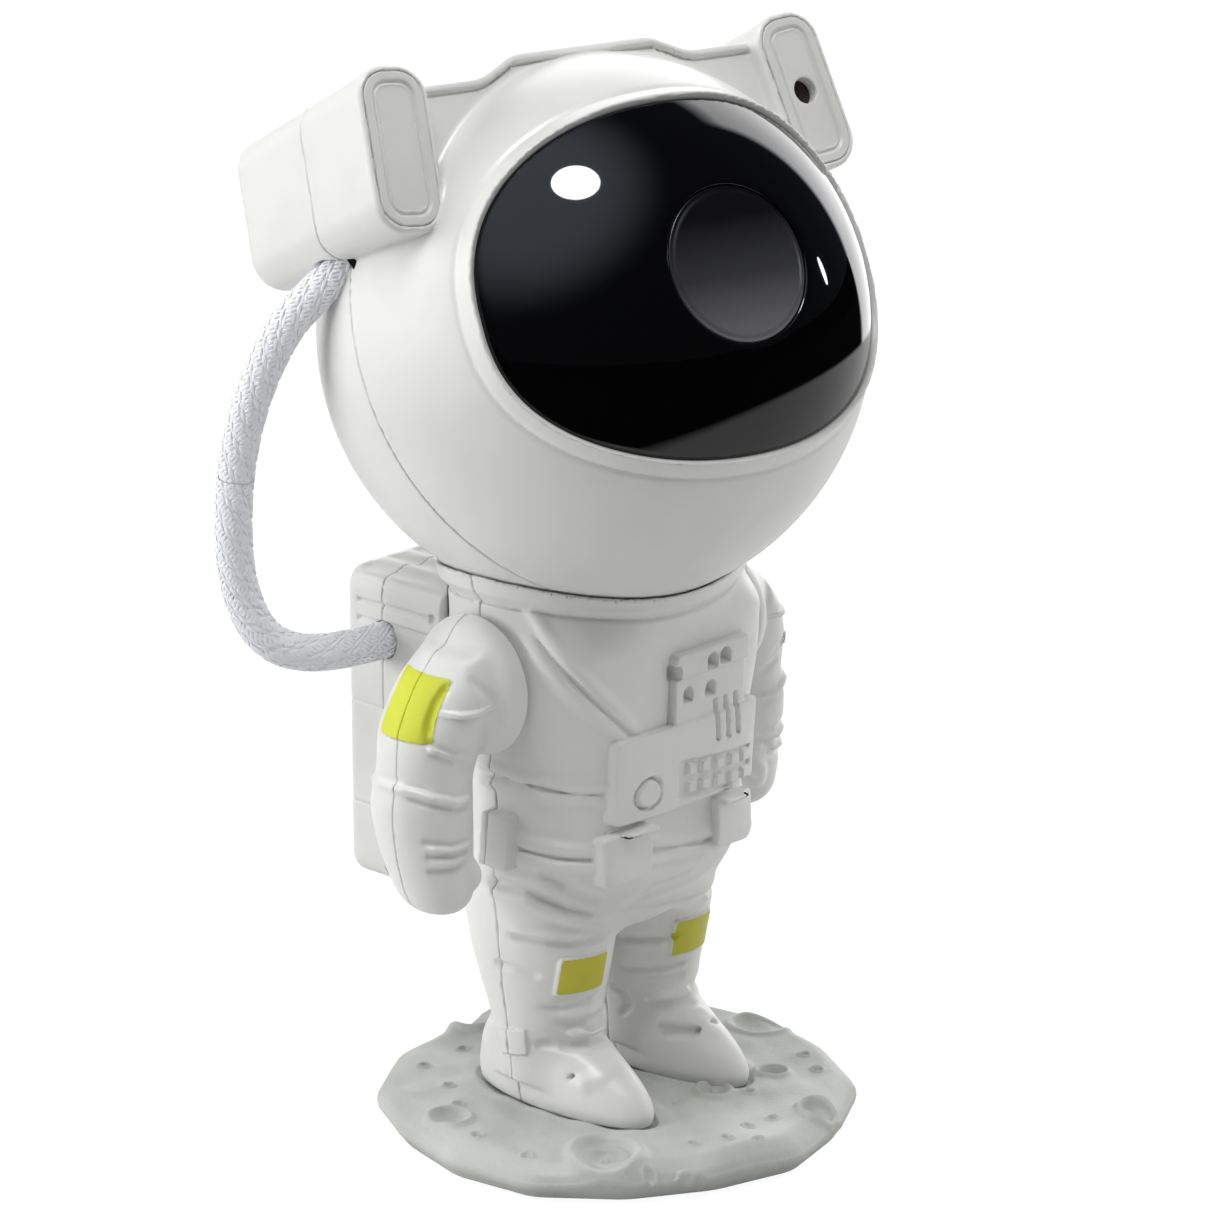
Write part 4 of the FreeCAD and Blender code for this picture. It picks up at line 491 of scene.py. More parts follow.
armFolds = [
    ([(47.9, 1.1, 106.1), (50.8, 1.9, 102.4), (52.5, 2.1, 99.0), (53.4, 1.8, 95.8)], 0.8, -0.8),
    ([(44.5, -1.2, 107.4), (43.9, -3.0, 106.0), (41.2, -5.2, 102.4), (39.2, -5.8, 96.5)], 1.0, -0.45),
    ([(47.1, -3.6, 101.2), (47.0, -3.4, 99.8)], 4.4, 0.6),
    ([(53.6, 2.6, 95.6), (52.6, 0.2, 94.6), (48.6, -2.8, 92.2), (43.0, -3.6, 89.6)], 0.75, -0.95),
    ([(53.6, 1.6, 92.6), (52.4, -0.2, 92.3), (49.4, -2.4, 90.2), (42.2, -1.6, 86.4)], 0.9, -0.55),
    ([(53.9, 1.6, 93.9), (52.6, -0.3, 93.5), (49.0, -3.0, 91.2)], 0.7, 0.5),
    ([(55.6, 14.0, 86.2), (56.3, 11.9, 86.2), (56.3, 5.8, 86.4), (52.9, 0.1, 85.0), (48.5, -2.0, 83.6),
      (43.0, -1.6, 83.4)], 0.6, -0.45),
    ([(55.4, 14.4, 84.8), (56.2, 12.6, 84.7), (56.4, 5.7, 84.9), (53.4, 0.4, 83.7), (49.0, -2.0, 82.2),
      (43.0, -1.6, 82.0)], 0.75, 0.7),
    ([(56.0, 5.0, 83.4), (53.8, 1.2, 82.3), (49.5, -1.8, 80.8), (43.5, -1.6, 80.6)], 0.7, -0.75),
    ([(54.4, 2.6, 74.6), (53.4, 0.9, 74.2), (49.2, -1.2, 73.3), (43.7, -0.7, 73.3)], 0.8, -0.9),
    ([(54.0, 2.3, 72.7), (52.8, 0.7, 72.6), (49.2, -1.3, 72.0), (44.0, -0.7, 72.2)], 0.7, 0.5),
    ([(53.6, 2.3, 71.2), (52.9, 0.9, 71.2), (49.1, -1.0, 70.7), (44.6, -0.7, 71.1)], 0.8, -0.9),
    ([(53.2, 2.6, 68.0), (52.3, 1.0, 67.9), (48.9, -0.8, 67.9), (45.4, -0.9, 69.1)], 0.8, -0.8),
    ([(53.0, 2.0, 69.5), (51.0, -0.2, 69.4), (47.0, -1.2, 69.6)], 0.8, 0.5),
    ([(55.0, 16.0, 74.0), (51.0, 18.6, 73.4), (46.0, 18.0, 73.4)], 0.9, -0.7),
    ([(55.0, 16.0, 71.0), (51.0, 18.4, 70.4), (46.0, 17.6, 70.4)], 0.9, -0.7),
    ([(54.0, 17.4, 84.0), (49.0, 19.4, 82.6), (43.0, 18.0, 82.0)], 0.8, 0.6),
    ([(54.0, 17.4, 82.0), (49.0, 19.4, 80.8), (43.0, 18.0, 80.2)], 0.8, -0.7),
]


def armHalf(sign):
    """A half arm, made for the left side: sign -1 keeps the front, 1 the rear."""
    def field(p):
        x, y, z = p.T
        form = armForm(p)
        thumb = np.sqrt(((x - 43.6) / 2.6) ** 2 + ((y - 0.6) / 3.0) ** 2 + ((z - 65.0) / 3.6) ** 2)
        form = smoothMin(form, (thumb - 1) * 2.6, 1.0)
        form = form - 1.7 * foldHeight(p, armFolds)
        band = bandOutline(p)
        form = plate(form, band, 0.35, 0.2)
        return smoothMax(form, sign * (arm["seam"] - y) + 0.03, 0.28)
    return field


def bandOutline(p):
    """The coloured panel on the outer side of the upper arm, leaning with the arm."""
    x, y, z = p.T
    across = y - 7.4
    along = z - 101.0 - 0.02 * across
    return np.maximum(roundRect(across, along, 6.6, 6.2, 0.8), 42.5 - x)


def kneeOutline(p):
    x, y, z = p.T
    knees = np.minimum(roundRect(x + 17.9, z - 38.4, 5.3, 4.0, 0.6),
                       roundRect(x - 15.0, z - 38.2, 5.3, 4.0, 0.6))
    return np.maximum(knees, y)


def packField(p):
    x, y, z = p.T
    middle = (pack["low"] + pack["high"]) / 2
    halfHeight = (pack["high"] - pack["low"]) / 2
    side = roundRect(x, z - middle, pack["halfWidth"], halfHeight, pack["corner"])
    rear = y - pack["rear"]
    outer = smoothMax(smoothMax(side, rear, 2.6), pack["front"] - y, 0.6)
    # Ribs along the top, grooves with round ends on the sides, a shallow panel behind
    rib = 0.5 * np.cos(x * 2 * math.pi / 7.2) * ramp(114, 116, z) * ramp(47.5, 45.5, y)
    sides = ramp(26.5, 28.5, np.abs(x))
    groove = 0
    for up in (110.2, 106.4):
        line = np.maximum(np.abs(z - up) - 0.05, np.maximum(24.4 - y, y - 45.5))
        groove = groove + 0.75 * bump(np.maximum(line, 0), 0.42)
        groove = groove + 1.2 * ramp(1.2, 0.5, np.hypot(y - 24.6, z - up))
    for up in (88.0, 66.0):
        groove = groove + 0.3 * bump(z - up, 0.3)
    panel = roundRect(x, z - 76, 11.0, 19.5, 3.0)
    rearFace = ramp(47.5, 49.3, y)
    back = 0.5 * bump(panel, 0.45) + 0.45 * bump(roundRect(x, z - 83, 24.4, 28.4, 3.0), 0.45)
    for i in range(6):
        slot = roundRect(x, z - (101.0 + i * 2.0 - 1.0), 15.0, 0.35, 0.3)
        back = back + 0.7 * ramp(0.3, -0.25, slot)
    outer = outer - rib + sides * groove + rearFace * back
    body = np.minimum(ovalColumn(p, tables["torso"], 0.3),
                      ovalColumn(np.where(p[:, :1] > 0, p, mirrorX(p)), tables["leg"], 1.0)) - 0.15
    reach = np.sqrt(x * x + (y - head["center"][1]) ** 2 + (z - head["center"][2]) ** 2) - head["radius"] - 0.7
    outer = smoothMax(outer, -np.minimum(body, reach), 0.25)
    inner = roundRect(x, z - middle, pack["halfWidth"] - 2, halfHeight - 2, pack["corner"] - 2)
    inner = np.maximum(np.maximum(inner, y - pack["rear"] + 2), 32.9 - y)
    inner = np.maximum(inner, 2.0 - np.minimum(body, reach))
    for cx, cz in coverScrews:
        inner = np.maximum(inner, 2.6 - np.hypot(x - cx, z - cz))
    form = np.maximum(outer, -inner)
    for up in (64.0, 76.0, 88.0):
        away = np.hypot(x, z - up)
        form = form + rearFace * 0.8 * ramp(6.4, 5.2, away) * ramp(3.6, 4.4, away)
        form = smoothMax(form, -np.maximum(away - pack["buttonHole"], 42 - y), 0.3)
    for cx, cz in coverScrews:
        form = smoothMax(form, -np.maximum(np.hypot(x - cx, z - cz) - pack["coverScrewHole"],
                                            pack["coverSeat"] - y), 0.25)
        form = np.maximum(form, -(np.hypot(x - cx, z - cz) - 0.95))
    socket = np.maximum(roundRect(x, y - 44.95, 4.62, 1.72, 0.3), z - 53)
    form = smoothMax(form, -socket, 0.2)
    hole = np.maximum(np.hypot(y - 38.8, z - 102.7) - pack["holeRadius"], x + 24)
    return smoothMax(form, -hole, 0.35)


def packHalf(sign):
    def field(p):
        return smoothMax(packField(p), sign * (p[:, 1] - pack["seam"]) + 0.02, 0.14)
    return field


def earCapField(side):
    def field(p):
        outline = earOutline(p, side)
        y = p[:, 1]
        cap = smoothMax(outline + earBox["edge"] + 0.1, -earBox["front"] - y, 0.35)
        cap = np.maximum(cap, y + earBox["front"] - earBox["capThickness"])
        face = 0.6 * bump(outline + 3.6, 0.36) + 0.28 * ramp(-4.0, -4.5, outline)
        cap = cap + face * ramp(-earBox["front"] + 1.1, -earBox["front"] + 0.5, y)
        cap = smoothMax(cap, head["radius"] + 0.1 - np.linalg.norm(p, axis=1), 0.2)
        if side > 0:
            hole = np.hypot(p[:, 0] - earBox["across"], p[:, 2] - earBox["up"]) - 2.7
            cap = smoothMax(cap, -hole, 0.4)
        return cap
    return field


# Meshes from distance fields

def sampleField(field, low, high, cell):
    """The field's values at grid points, worked out only in the blocks that its surface may cross."""
    low = np.array(low, float)
    blocks = np.ceil((np.array(high, float) - low) / cell / 4).astype(int)
    centers = np.stack(np.meshgrid(*[np.arange(n) * 4 + 2 for n in blocks], indexing="ij"), -1)
    coarse = evaluate(field, low + centers.reshape(-1, 3) * cell).reshape(blocks)
    values = np.full(blocks * 4 + 1, 9.0, np.float32)
    spread = np.where(coarse < 0, -9.0, 9.0)
    values[:-1, :-1, :-1] = spread.repeat(4, 0).repeat(4, 1).repeat(4, 2)
    wanted = np.zeros(blocks * 4 + 1, bool)
    near = np.argwhere(np.abs(coarse) < 7.0 * cell + 1.0) * 4
    offsets = np.stack(np.meshgrid(*[np.arange(5)] * 3, indexing="ij"), -1).reshape(-1, 3)
    for offset in offsets:
        wanted[tuple((near + offset).T)] = True
    places = np.argwhere(wanted)
    values[tuple(places.T)] = evaluate(field, low + places * cell)
    return values


def evaluate(field, points):
    parts = [field(points[i:i + 150000]) for i in range(0, len(points), 150000)]
    return np.concatenate(parts)


def slopeOf(field, points, step):
    slope = np.empty_like(points)
    for axis in range(3):
        shift = np.zeros(3)
        shift[axis] = step
        slope[:, axis] = (evaluate(field, points + shift) - evaluate(field, points - shift)) / (2 * step)
    return slope


def surfaceNet(values):
    """One point in each cell that the surface crosses, the mean of its edges' crossings, and a quad round
    each grid edge that it crosses."""
    inside = values < 0
    count = sum(inside[a:a + inside.shape[0] - 1, b:b + inside.shape[1] - 1,
                       c:c + inside.shape[2] - 1].astype(np.uint8)
                for a in (0, 1) for b in (0, 1) for c in (0, 1))
    cells = np.argwhere((count > 0) & (count < 8))
    number = np.full(count.shape, -1, np.int32)
    number[tuple(cells.T)] = np.arange(len(cells))
    corners = np.array([(a, b, c) for a in (0, 1) for b in (0, 1) for c in (0, 1)])
    at = np.stack([values[tuple((cells + corner).T)] for corner in corners], 1)
    total = np.zeros((len(cells), 3))
    crossed = np.zeros(len(cells))
    for i in range(8):
        for j in range(i + 1, 8):
            if np.abs(corners[i] - corners[j]).sum() != 1:
                continue
            cut = (at[:, i] < 0) != (at[:, j] < 0)
            share = np.where(cut, at[:, i] / np.where(cut, at[:, i] - at[:, j], 1), 0)
            total += cut[:, None] * (corners[i] + share[:, None] * (corners[j] - corners[i]))
            crossed += cut
    points = cells + total / crossed[:, None]
    quads = []
    for axis in range(3):
        first = np.moveaxis(inside, axis, 0)[:-1, 1:-1, 1:-1]
        second = np.moveaxis(inside, axis, 0)[1:, 1:-1, 1:-1]
        grid = np.moveaxis(number, axis, 0)
        i, j, k = np.nonzero(first != second)
        loop = np.stack([grid[i, j, k], grid[i, j + 1, k], grid[i, j + 1, k + 1], grid[i, j, k + 1]], 1)
        out = first[i, j, k]
        flip = ~out if axis != 1 else out
        loop[flip] = loop[flip][:, ::-1]
        quads.append(loop)
    return points, np.concatenate(quads)


def fieldMesh(field, low, high, cell, rounds=2):
    values = sampleField(field, low, high, cell)
    points, quads = surfaceNet(values)
    points = np.array(low, float) + points * cell
    for _ in range(rounds):
        away = evaluate(field, points)
        slope = slopeOf(field, points, 0.12 * cell)
        steep = np.maximum((slope ** 2).sum(1), 0.05)
        points = points - slope * np.clip(away / steep, -0.5 * cell, 0.5 * cell)[:, None]
    normals = slopeOf(field, points, 0.3 * cell)
    normals /= np.maximum(np.linalg.norm(normals, axis=1), 1e-6)[:, None]
    return points, quads, normals


def addPiece(name, points, faces, material, normals=None, marks=None, smooth=True):
    """A mesh object from points in millimetres in the row's frame."""
    mesh = bpy.data.meshes.new(name)
    faces = np.asarray(faces)
    mesh.vertices.add(len(points))
    mesh.vertices.foreach_set("co", (np.asarray(points) / 1000).astype(np.float32).ravel())
    mesh.loops.add(faces.size)
    mesh.loops.foreach_set("vertex_index", faces.astype(np.int32).ravel())
    mesh.polygons.add(len(faces))
    mesh.polygons.foreach_set("loop_start", np.arange(0, faces.size, faces.shape[1], dtype=np.int32))
    mesh.update(calc_edges=True)
    mesh.validate()
    mesh.polygons.foreach_set("use_smooth", np.full(len(mesh.polygons), smooth))
    for key, value in (marks or {}).items():
        layer = mesh.attributes.new(key, "FLOAT", "POINT")
        layer.data.foreach_set("value", np.asarray(value, np.float32))
    if normals is not None:
        mesh.normals_split_custom_set_from_vertices(normals.astype(np.float32))
    mesh.materials.append(material)
    piece = bpy.data.objects.new(name, mesh)
    bpy.context.scene.collection.objects.link(piece)
    return piece


def merge(piece):
    work = bmesh.new()
    work.from_mesh(piece.data)
    bmesh.ops.remove_doubles(work, verts=work.verts, dist=1e-7)
    bmesh.ops.dissolve_degenerate(work, edges=work.edges, dist=1e-8)
    bmesh.ops.recalc_face_normals(work, faces=work.faces)
    work.to_mesh(piece.data)
    work.free()


def gridFaces(rows, columns, closed):
    """Quads of a grid of points, row after row; closed joins the last column to the first."""
    i, j = np.meshgrid(np.arange(rows - 1), np.arange(columns if closed else columns - 1), indexing="ij")
    k = (j + 1) % columns
    quads = np.stack([i * columns + j, i * columns + k, (i + 1) * columns + k, (i + 1) * columns + j], -1)
    return quads.reshape(-1, 4)


# Materials

def linear(hexColor):
    """An sRGB hex colour as linear values with alpha."""
    parts = [int(hexColor[i:i + 2], 16) / 255 for i in (1, 3, 5)]
    return [c / 12.92 if c <= 0.04045 else ((c + 0.055) / 1.055) ** 2.4 for c in parts] + [1.0]


def addNode(tree, kind, settings=None, **links):
    """Add a node: settings are its properties, and links set its sockets or join outputs to them."""
    node = tree.nodes.new(kind)
    for key, value in (settings or {}).items():
        setattr(node, key, value)
    for key, value in links.items():
        numbered = key[0] == "i" and key[1:].isdigit()
        socket = node.inputs[int(key[1:]) if numbered else key.replace("_", " ")]
        if isinstance(value, bpy.types.NodeSocket):
            tree.links.new(value, socket)
        else:
            socket.default_value = value
    return node


def newMaterial(name):
    material = bpy.data.materials.new(name)
    material.use_nodes = True
    material.node_tree.nodes.clear()
    return material, material.node_tree


def finishMaterial(tree, shader):
    addNode(tree, "ShaderNodeOutputMaterial", Surface=shader.outputs[0])


def mouldedPlastic(name, tint, shade, roughness, grain, depth, paint=None, coat=0.0):
    """Injection-moulded ABS or polycarbonate: even colour with faint flow marks, and a fine mould grain in mm
    that softens its highlights. paint colours the places that the mark named paint covers."""
    material, tree = newMaterial(name)
    place = addNode(tree, "ShaderNodeTexCoord").outputs["Object"]
    flow = addNode(tree, "ShaderNodeTexNoise", Vector=place, Scale=1000 / 26, Detail=3.0, Roughness=0.55)
    tones = addNode(tree, "ShaderNodeValToRGB", Fac=flow.outputs["Fac"])
    tones.color_ramp.elements[0].color = linear(shade)
    tones.color_ramp.elements[0].position = 0.34
    tones.color_ramp.elements[1].color = linear(tint)
    tones.color_ramp.elements[1].position = 0.56
    color = tones.outputs["Color"]
    if paint:
        mark = addNode(tree, "ShaderNodeAttribute", dict(attribute_name="paint"))
        edge = addNode(tree, "ShaderNodeMath", dict(operation="LESS_THAN"), i0=mark.outputs["Fac"], i1=-0.02)
        patch = addNode(tree, "ShaderNodeTexNoise", Vector=place, Scale=1000 / 9, Detail=2.0)
        ink = addNode(tree, "ShaderNodeMix", dict(data_type="RGBA"), i0=patch.outputs["Fac"],
                      i6=linear(paint[0]),
                      i7=linear(paint[1]))
        color = addNode(tree, "ShaderNodeMix", dict(data_type="RGBA"), i0=edge.outputs[0], i6=color,
                        i7=ink.outputs[2]).outputs[2]
    fine = addNode(tree, "ShaderNodeTexNoise", Vector=place, Scale=1000 / grain, Detail=2.0, Roughness=0.6)
    rough = addNode(tree, "ShaderNodeMapRange", Value=flow.outputs["Fac"], To_Min=roughness - 0.04,
                    To_Max=roughness + 0.05)
    bumpNode = addNode(tree, "ShaderNodeBump", Height=fine.outputs["Fac"], Distance=depth / 1000,
                       Strength=0.6)
    shader = addNode(tree, "ShaderNodeBsdfPrincipled", Base_Color=color, Roughness=rough.outputs[0],
                     Normal=bumpNode.outputs[0], IOR=1.5)
    shader.inputs["Coat Weight"].default_value = coat
    finishMaterial(tree, shader)
    return material


def moonStone(name):
    """Moulded grey ABS, painted matt: mottled tone and darker specks."""
    material, tree = newMaterial(name)
    place = addNode(tree, "ShaderNodeTexCoord").outputs["Object"]
    broad = addNode(tree, "ShaderNodeTexNoise", Vector=place, Scale=1000 / 18, Detail=5.0, Roughness=0.6)
    tones = addNode(tree, "ShaderNodeValToRGB", Fac=broad.outputs["Fac"])
    tones.color_ramp.elements[0].color = linear("#B9BCB7")
    tones.color_ramp.elements[0].position = 0.3
    tones.color_ramp.elements[1].color = linear("#C9CBC6")
    tones.color_ramp.elements[1].position = 0.7
    specks = addNode(tree, "ShaderNodeTexVoronoi", dict(feature="F1"), Vector=place, Scale=1000 / 1.6)
    dark = addNode(tree, "ShaderNodeMapRange", Value=specks.outputs["Distance"], From_Min=0.05, From_Max=0.22,
                   To_Min=0.25, To_Max=0.0)
    color = addNode(tree, "ShaderNodeMix", dict(data_type="RGBA"), i0=dark.outputs[0], i6=tones.outputs[0],
                    i7=linear("#A0A4A0"))
    fine = addNode(tree, "ShaderNodeTexNoise", Vector=place, Scale=1000 / 0.9, Detail=3.0)
    bumpNode = addNode(tree, "ShaderNodeBump", Height=fine.outputs["Fac"], Distance=0.00012, Strength=0.7)
    rough = addNode(tree, "ShaderNodeMapRange", Value=broad.outputs["Fac"], To_Min=0.42, To_Max=0.58)
    shader = addNode(tree, "ShaderNodeBsdfPrincipled", Base_Color=color.outputs[2],
                     Roughness=rough.outputs[0],
                     Normal=bumpNode.outputs[0])
    finishMaterial(tree, shader)
    return material


def glossPlastic(name, tint, roughness, transmission=0.0):
    """Polished acrylic: mirror-smooth with a faint haze in its roughness."""
    material, tree = newMaterial(name)
    place = addNode(tree, "ShaderNodeTexCoord").outputs["Object"]
    haze = addNode(tree, "ShaderNodeTexNoise", Vector=place, Scale=1000 / 30, Detail=4.0)
    rough = addNode(tree, "ShaderNodeMapRange", Value=haze.outputs["Fac"], To_Min=roughness * 0.6,
                    To_Max=roughness * 1.5)
    shader = addNode(tree, "ShaderNodeBsdfPrincipled", Base_Color=linear(tint), Roughness=rough.outputs[0],
                     IOR=1.49)
    shader.inputs["Transmission Weight"].default_value = transmission
    finishMaterial(tree, shader)
    return material


def smokedWindow(name):
    """Smoked acrylic disc: nearly black at its top, paler towards its foot."""
    material, tree = newMaterial(name)
    place = addNode(tree, "ShaderNodeTexCoord").outputs["Object"]
    up = headTurn() @ np.array([0, 0, 1.0])
    middle = fromHead(np.array([[0, -window["front"], 0]]))[0] / 1000 @ up
    height = addNode(tree, "ShaderNodeVectorMath", dict(operation="DOT_PRODUCT"), i0=place, i1=tuple(up))
    reach = window["radius"] / 1000
    level = addNode(tree, "ShaderNodeMapRange", Value=height.outputs["Value"], From_Min=middle - reach,
                    From_Max=middle + reach)
    shade = addNode(tree, "ShaderNodeValToRGB", Fac=level.outputs[0])
    shade.color_ramp.elements[0].color = linear("#727274")
    shade.color_ramp.elements[1].color = linear("#0B0B0E")
    shade.color_ramp.elements[1].position = 0.8
    half = shade.color_ramp.elements.new(0.42)
    half.color = linear("#38383A")
    haze = addNode(tree, "ShaderNodeTexNoise", Vector=place, Scale=1000 / 30, Detail=4.0)
    rough = addNode(tree, "ShaderNodeMapRange", Value=haze.outputs["Fac"], To_Min=0.24, To_Max=0.34)
    shader = addNode(tree, "ShaderNodeBsdfPrincipled", Base_Color=shade.outputs[0],
                     Roughness=rough.outputs[0],
                     IOR=1.49)
    finishMaterial(tree, shader)
    return material


def machinedMetal(name, tint, roughness, line):
    """Turned or drawn metal: fine tool marks, in mm apart, in its roughness and bump."""
    material, tree = newMaterial(name)
    place = addNode(tree, "ShaderNodeTexCoord").outputs["Object"]
    lines = addNode(tree, "ShaderNodeTexNoise", Vector=place, Scale=1000 / line, Detail=3.0)
    rough = addNode(tree, "ShaderNodeMapRange", Value=lines.outputs["Fac"], To_Min=roughness * 0.7,
                    To_Max=roughness * 1.4)
    bumpNode = addNode(tree, "ShaderNodeBump", Height=lines.outputs["Fac"], Distance=0.00002, Strength=0.4)
    shader = addNode(tree, "ShaderNodeBsdfPrincipled", Base_Color=linear(tint), Roughness=rough.outputs[0],
                     Metallic=1.0, Normal=bumpNode.outputs[0])
    finishMaterial(tree, shader)
    return material


def braidYarn(name, tint, shade):
    """Braided polyester sleeve: soft white yarn with fine filaments along each strand, and a light sheen."""
    material, tree = newMaterial(name)
    along = addNode(tree, "ShaderNodeUVMap", dict(uv_map="strand"))
    lay = addNode(tree, "ShaderNodeMapping", Vector=along.outputs[0])
    lay.inputs["Scale"].default_value = (1.0, 7.0, 1.0)
    filament = addNode(tree, "ShaderNodeTexNoise", Vector=lay.outputs[0], Scale=1.4, Detail=2.0)
    tones = addNode(tree, "ShaderNodeValToRGB", Fac=filament.outputs["Fac"])
    tones.color_ramp.elements[0].color = linear(shade)
    tones.color_ramp.elements[0].position = 0.3
    tones.color_ramp.elements[1].color = linear(tint)
    tones.color_ramp.elements[1].position = 0.6
    bumpNode = addNode(tree, "ShaderNodeBump", Height=filament.outputs["Fac"], Distance=0.00005, Strength=0.7)
    shader = addNode(tree, "ShaderNodeBsdfPrincipled", Base_Color=tones.outputs[0], Roughness=0.78,
                     Normal=bumpNode.outputs[0])
    shader.inputs["Sheen Weight"].default_value = 0.25
    finishMaterial(tree, shader)
    return material


whiteAbs = mouldedPlastic("whiteAbsMoulded", "#ECECE9", "#E7E7E4", 0.34, 0.8, 0.02, ("#DCE24C", "#D2D942"))
suitAbs = mouldedPlastic("whiteAbsSuit", "#ECECE9", "#E7E7E4", 0.34, 0.8, 0.02, ("#D2CC3A", "#C8C236"))
capAbs = mouldedPlastic("greyWhiteAbsMoulded", "#E0E0DD", "#DADAD7", 0.42, 0.6, 0.03)
packAbs = mouldedPlastic("backpackAbsMoulded", "#E4E4E1", "#DEDEDB", 0.38, 0.8, 0.02)
buttonAbs = mouldedPlastic("buttonAbsMoulded", "#DADAD8", "#D0D0CE", 0.3, 0.5, 0.015)
blackAbs = mouldedPlastic("blackAbsMoulded", "#1B1B1D", "#151517", 0.4, 0.7, 0.02)
gearAcetal = mouldedPlastic("gearAcetalMoulded", "#EEEDE8", "#E6E5DF", 0.45, 0.9, 0.01)
foamPad = mouldedPlastic("evaFoamPad", "#26272A", "#1C1D1F", 0.85, 0.35, 0.12)
boardFibre = mouldedPlastic("boardFibreglassLacquered", "#1E5A38", "#194C30", 0.35, 0.4, 0.01)
lampGel = mouldedPlastic("lampPhosphorGel", "#F0D860", "#E8C840", 0.4, 0.3, 0.01)
visorAcrylic = glossPlastic("visorAcrylicBlack", "#050506", 0.035)
windowAcrylic = smokedWindow("windowAcrylicSmoked")
clearAcrylic = glossPlastic("lensAcrylicClear", "#F6FAFA", 0.03, 1.0)
# The laser's grating film is dark brown as painted shade in the laser's hole
laserHoleShade = glossPlastic("gratingFilmPaintedShade", "#2E2622", 0.2)
rippledAcrylic = glossPlastic("discAcrylicRippled", "#F2F6F8", 0.08, 0.9)
steel = machinedMetal("steelZincPlated", "#C6C9CC", 0.28, 0.4)
aluminium = machinedMetal("aluminiumExtruded", "#D5D6D8", 0.36, 0.5)
brass = machinedMetal("brassTurned", "#D8B365", 0.26, 0.4)
moonAbs = moonStone("moonAbsPainted")
yarn = braidYarn("braidPolyesterWhite", "#FAFBFF", "#EEF0F8")

slotFinish = {
    "white_plastic": whiteAbs, "moon_grey": moonAbs, "grey_panel": capAbs, "black_gloss": visorAcrylic,
    "dark_window": windowAcrylic, "clear_lens": clearAcrylic, "rippled_clear": rippledAcrylic,
    "black_plastic": blackAbs, "white_gear": gearAcetal, "steel": steel, "aluminium": aluminium, "brass": brass,
    "board_green": boardFibre, "led_yellow": lampGel, "braid_white": yarn, "foam_black": foamPad,
    "button_white": buttonAbs,
}


# Camera and cords come first

def placeCamera(azimuth, elevation, distance, aim, width, focal):
    a, e = math.radians(azimuth), math.radians(elevation)
    back = Vector((math.sin(a) * math.cos(e), -math.cos(a) * math.cos(e), math.sin(e)))
    right = Vector((math.cos(a), math.sin(a), 0))
    up = back.cross(right)
    lens = bpy.data.cameras.new("studioCamera")
    lens.sensor_width = width
    lens.lens = focal
    lens.sensor_fit = "HORIZONTAL"
    lens.clip_start = 0.05
    viewer = bpy.data.objects.new("studioCamera", lens)
    viewer.matrix_world = Matrix((
        (right.x, up.x, back.x, 0), (right.y, up.y, back.y, 0), (right.z, up.z, back.z, 0), (0, 0, 0, 1)))
    viewer.location = back * distance + Vector((0, 0.0035, aim)) + right * 0.00118
    bpy.context.scene.collection.objects.link(viewer)
    bpy.context.scene.camera = viewer


placeCamera(-47.3, 17.2, 1.037, 0.11006, 36.0, 149.58)
print("camera placed")


def routePoints(points):
    """Points along the hose's smooth line, in millimetres, read from its NURBS spline."""
    curve = bpy.data.curves.new("hoseLine", "CURVE")
    curve.dimensions = "3D"
    curve.resolution_u = 48
    spline = curve.splines.new("NURBS")
    spline.points.add(len(points) - 1)
    for point, place in zip(spline.points, points):
        point.co = (place[0] / 1000, place[1] / 1000, place[2] / 1000, 1)
    spline.order_u = 3
    spline.use_endpoint_u = True
    holder = bpy.data.objects.new("hoseLine", curve)
    line = bpy.data.meshes.new_from_object(holder)
    out = np.zeros(len(line.vertices) * 3)
    line.vertices.foreach_get("co", out)
    bpy.data.objects.remove(holder)
    return out.reshape(-1, 3) * 1000


def evenly(points, step):
    """The same line with evenly spaced points, and the distance along it at each."""
    along = np.concatenate([[0], np.cumsum(np.linalg.norm(np.diff(points, axis=0), axis=1))])
    marks = np.linspace(0, along[-1], int(round(along[-1] / step)) + 1)
    return np.stack([np.interp(marks, along, points[:, i]) for i in range(3)], 1), marks


def pathFrames(points):
    """Two directions square to the line at each point, carried along it without twist."""
    ways = np.gradient(points, axis=0)
    ways /= np.linalg.norm(ways, axis=1)[:, None]
    first = np.cross(ways[0], (0, 0, 1.0))
    sides = [first / np.linalg.norm(first)]
    for way in ways[1:]:
        side = sides[-1] - way * (sides[-1] @ way)
        sides.append(side / np.linalg.norm(side))
    sides = np.array(sides)
    return sides, np.cross(ways, sides)


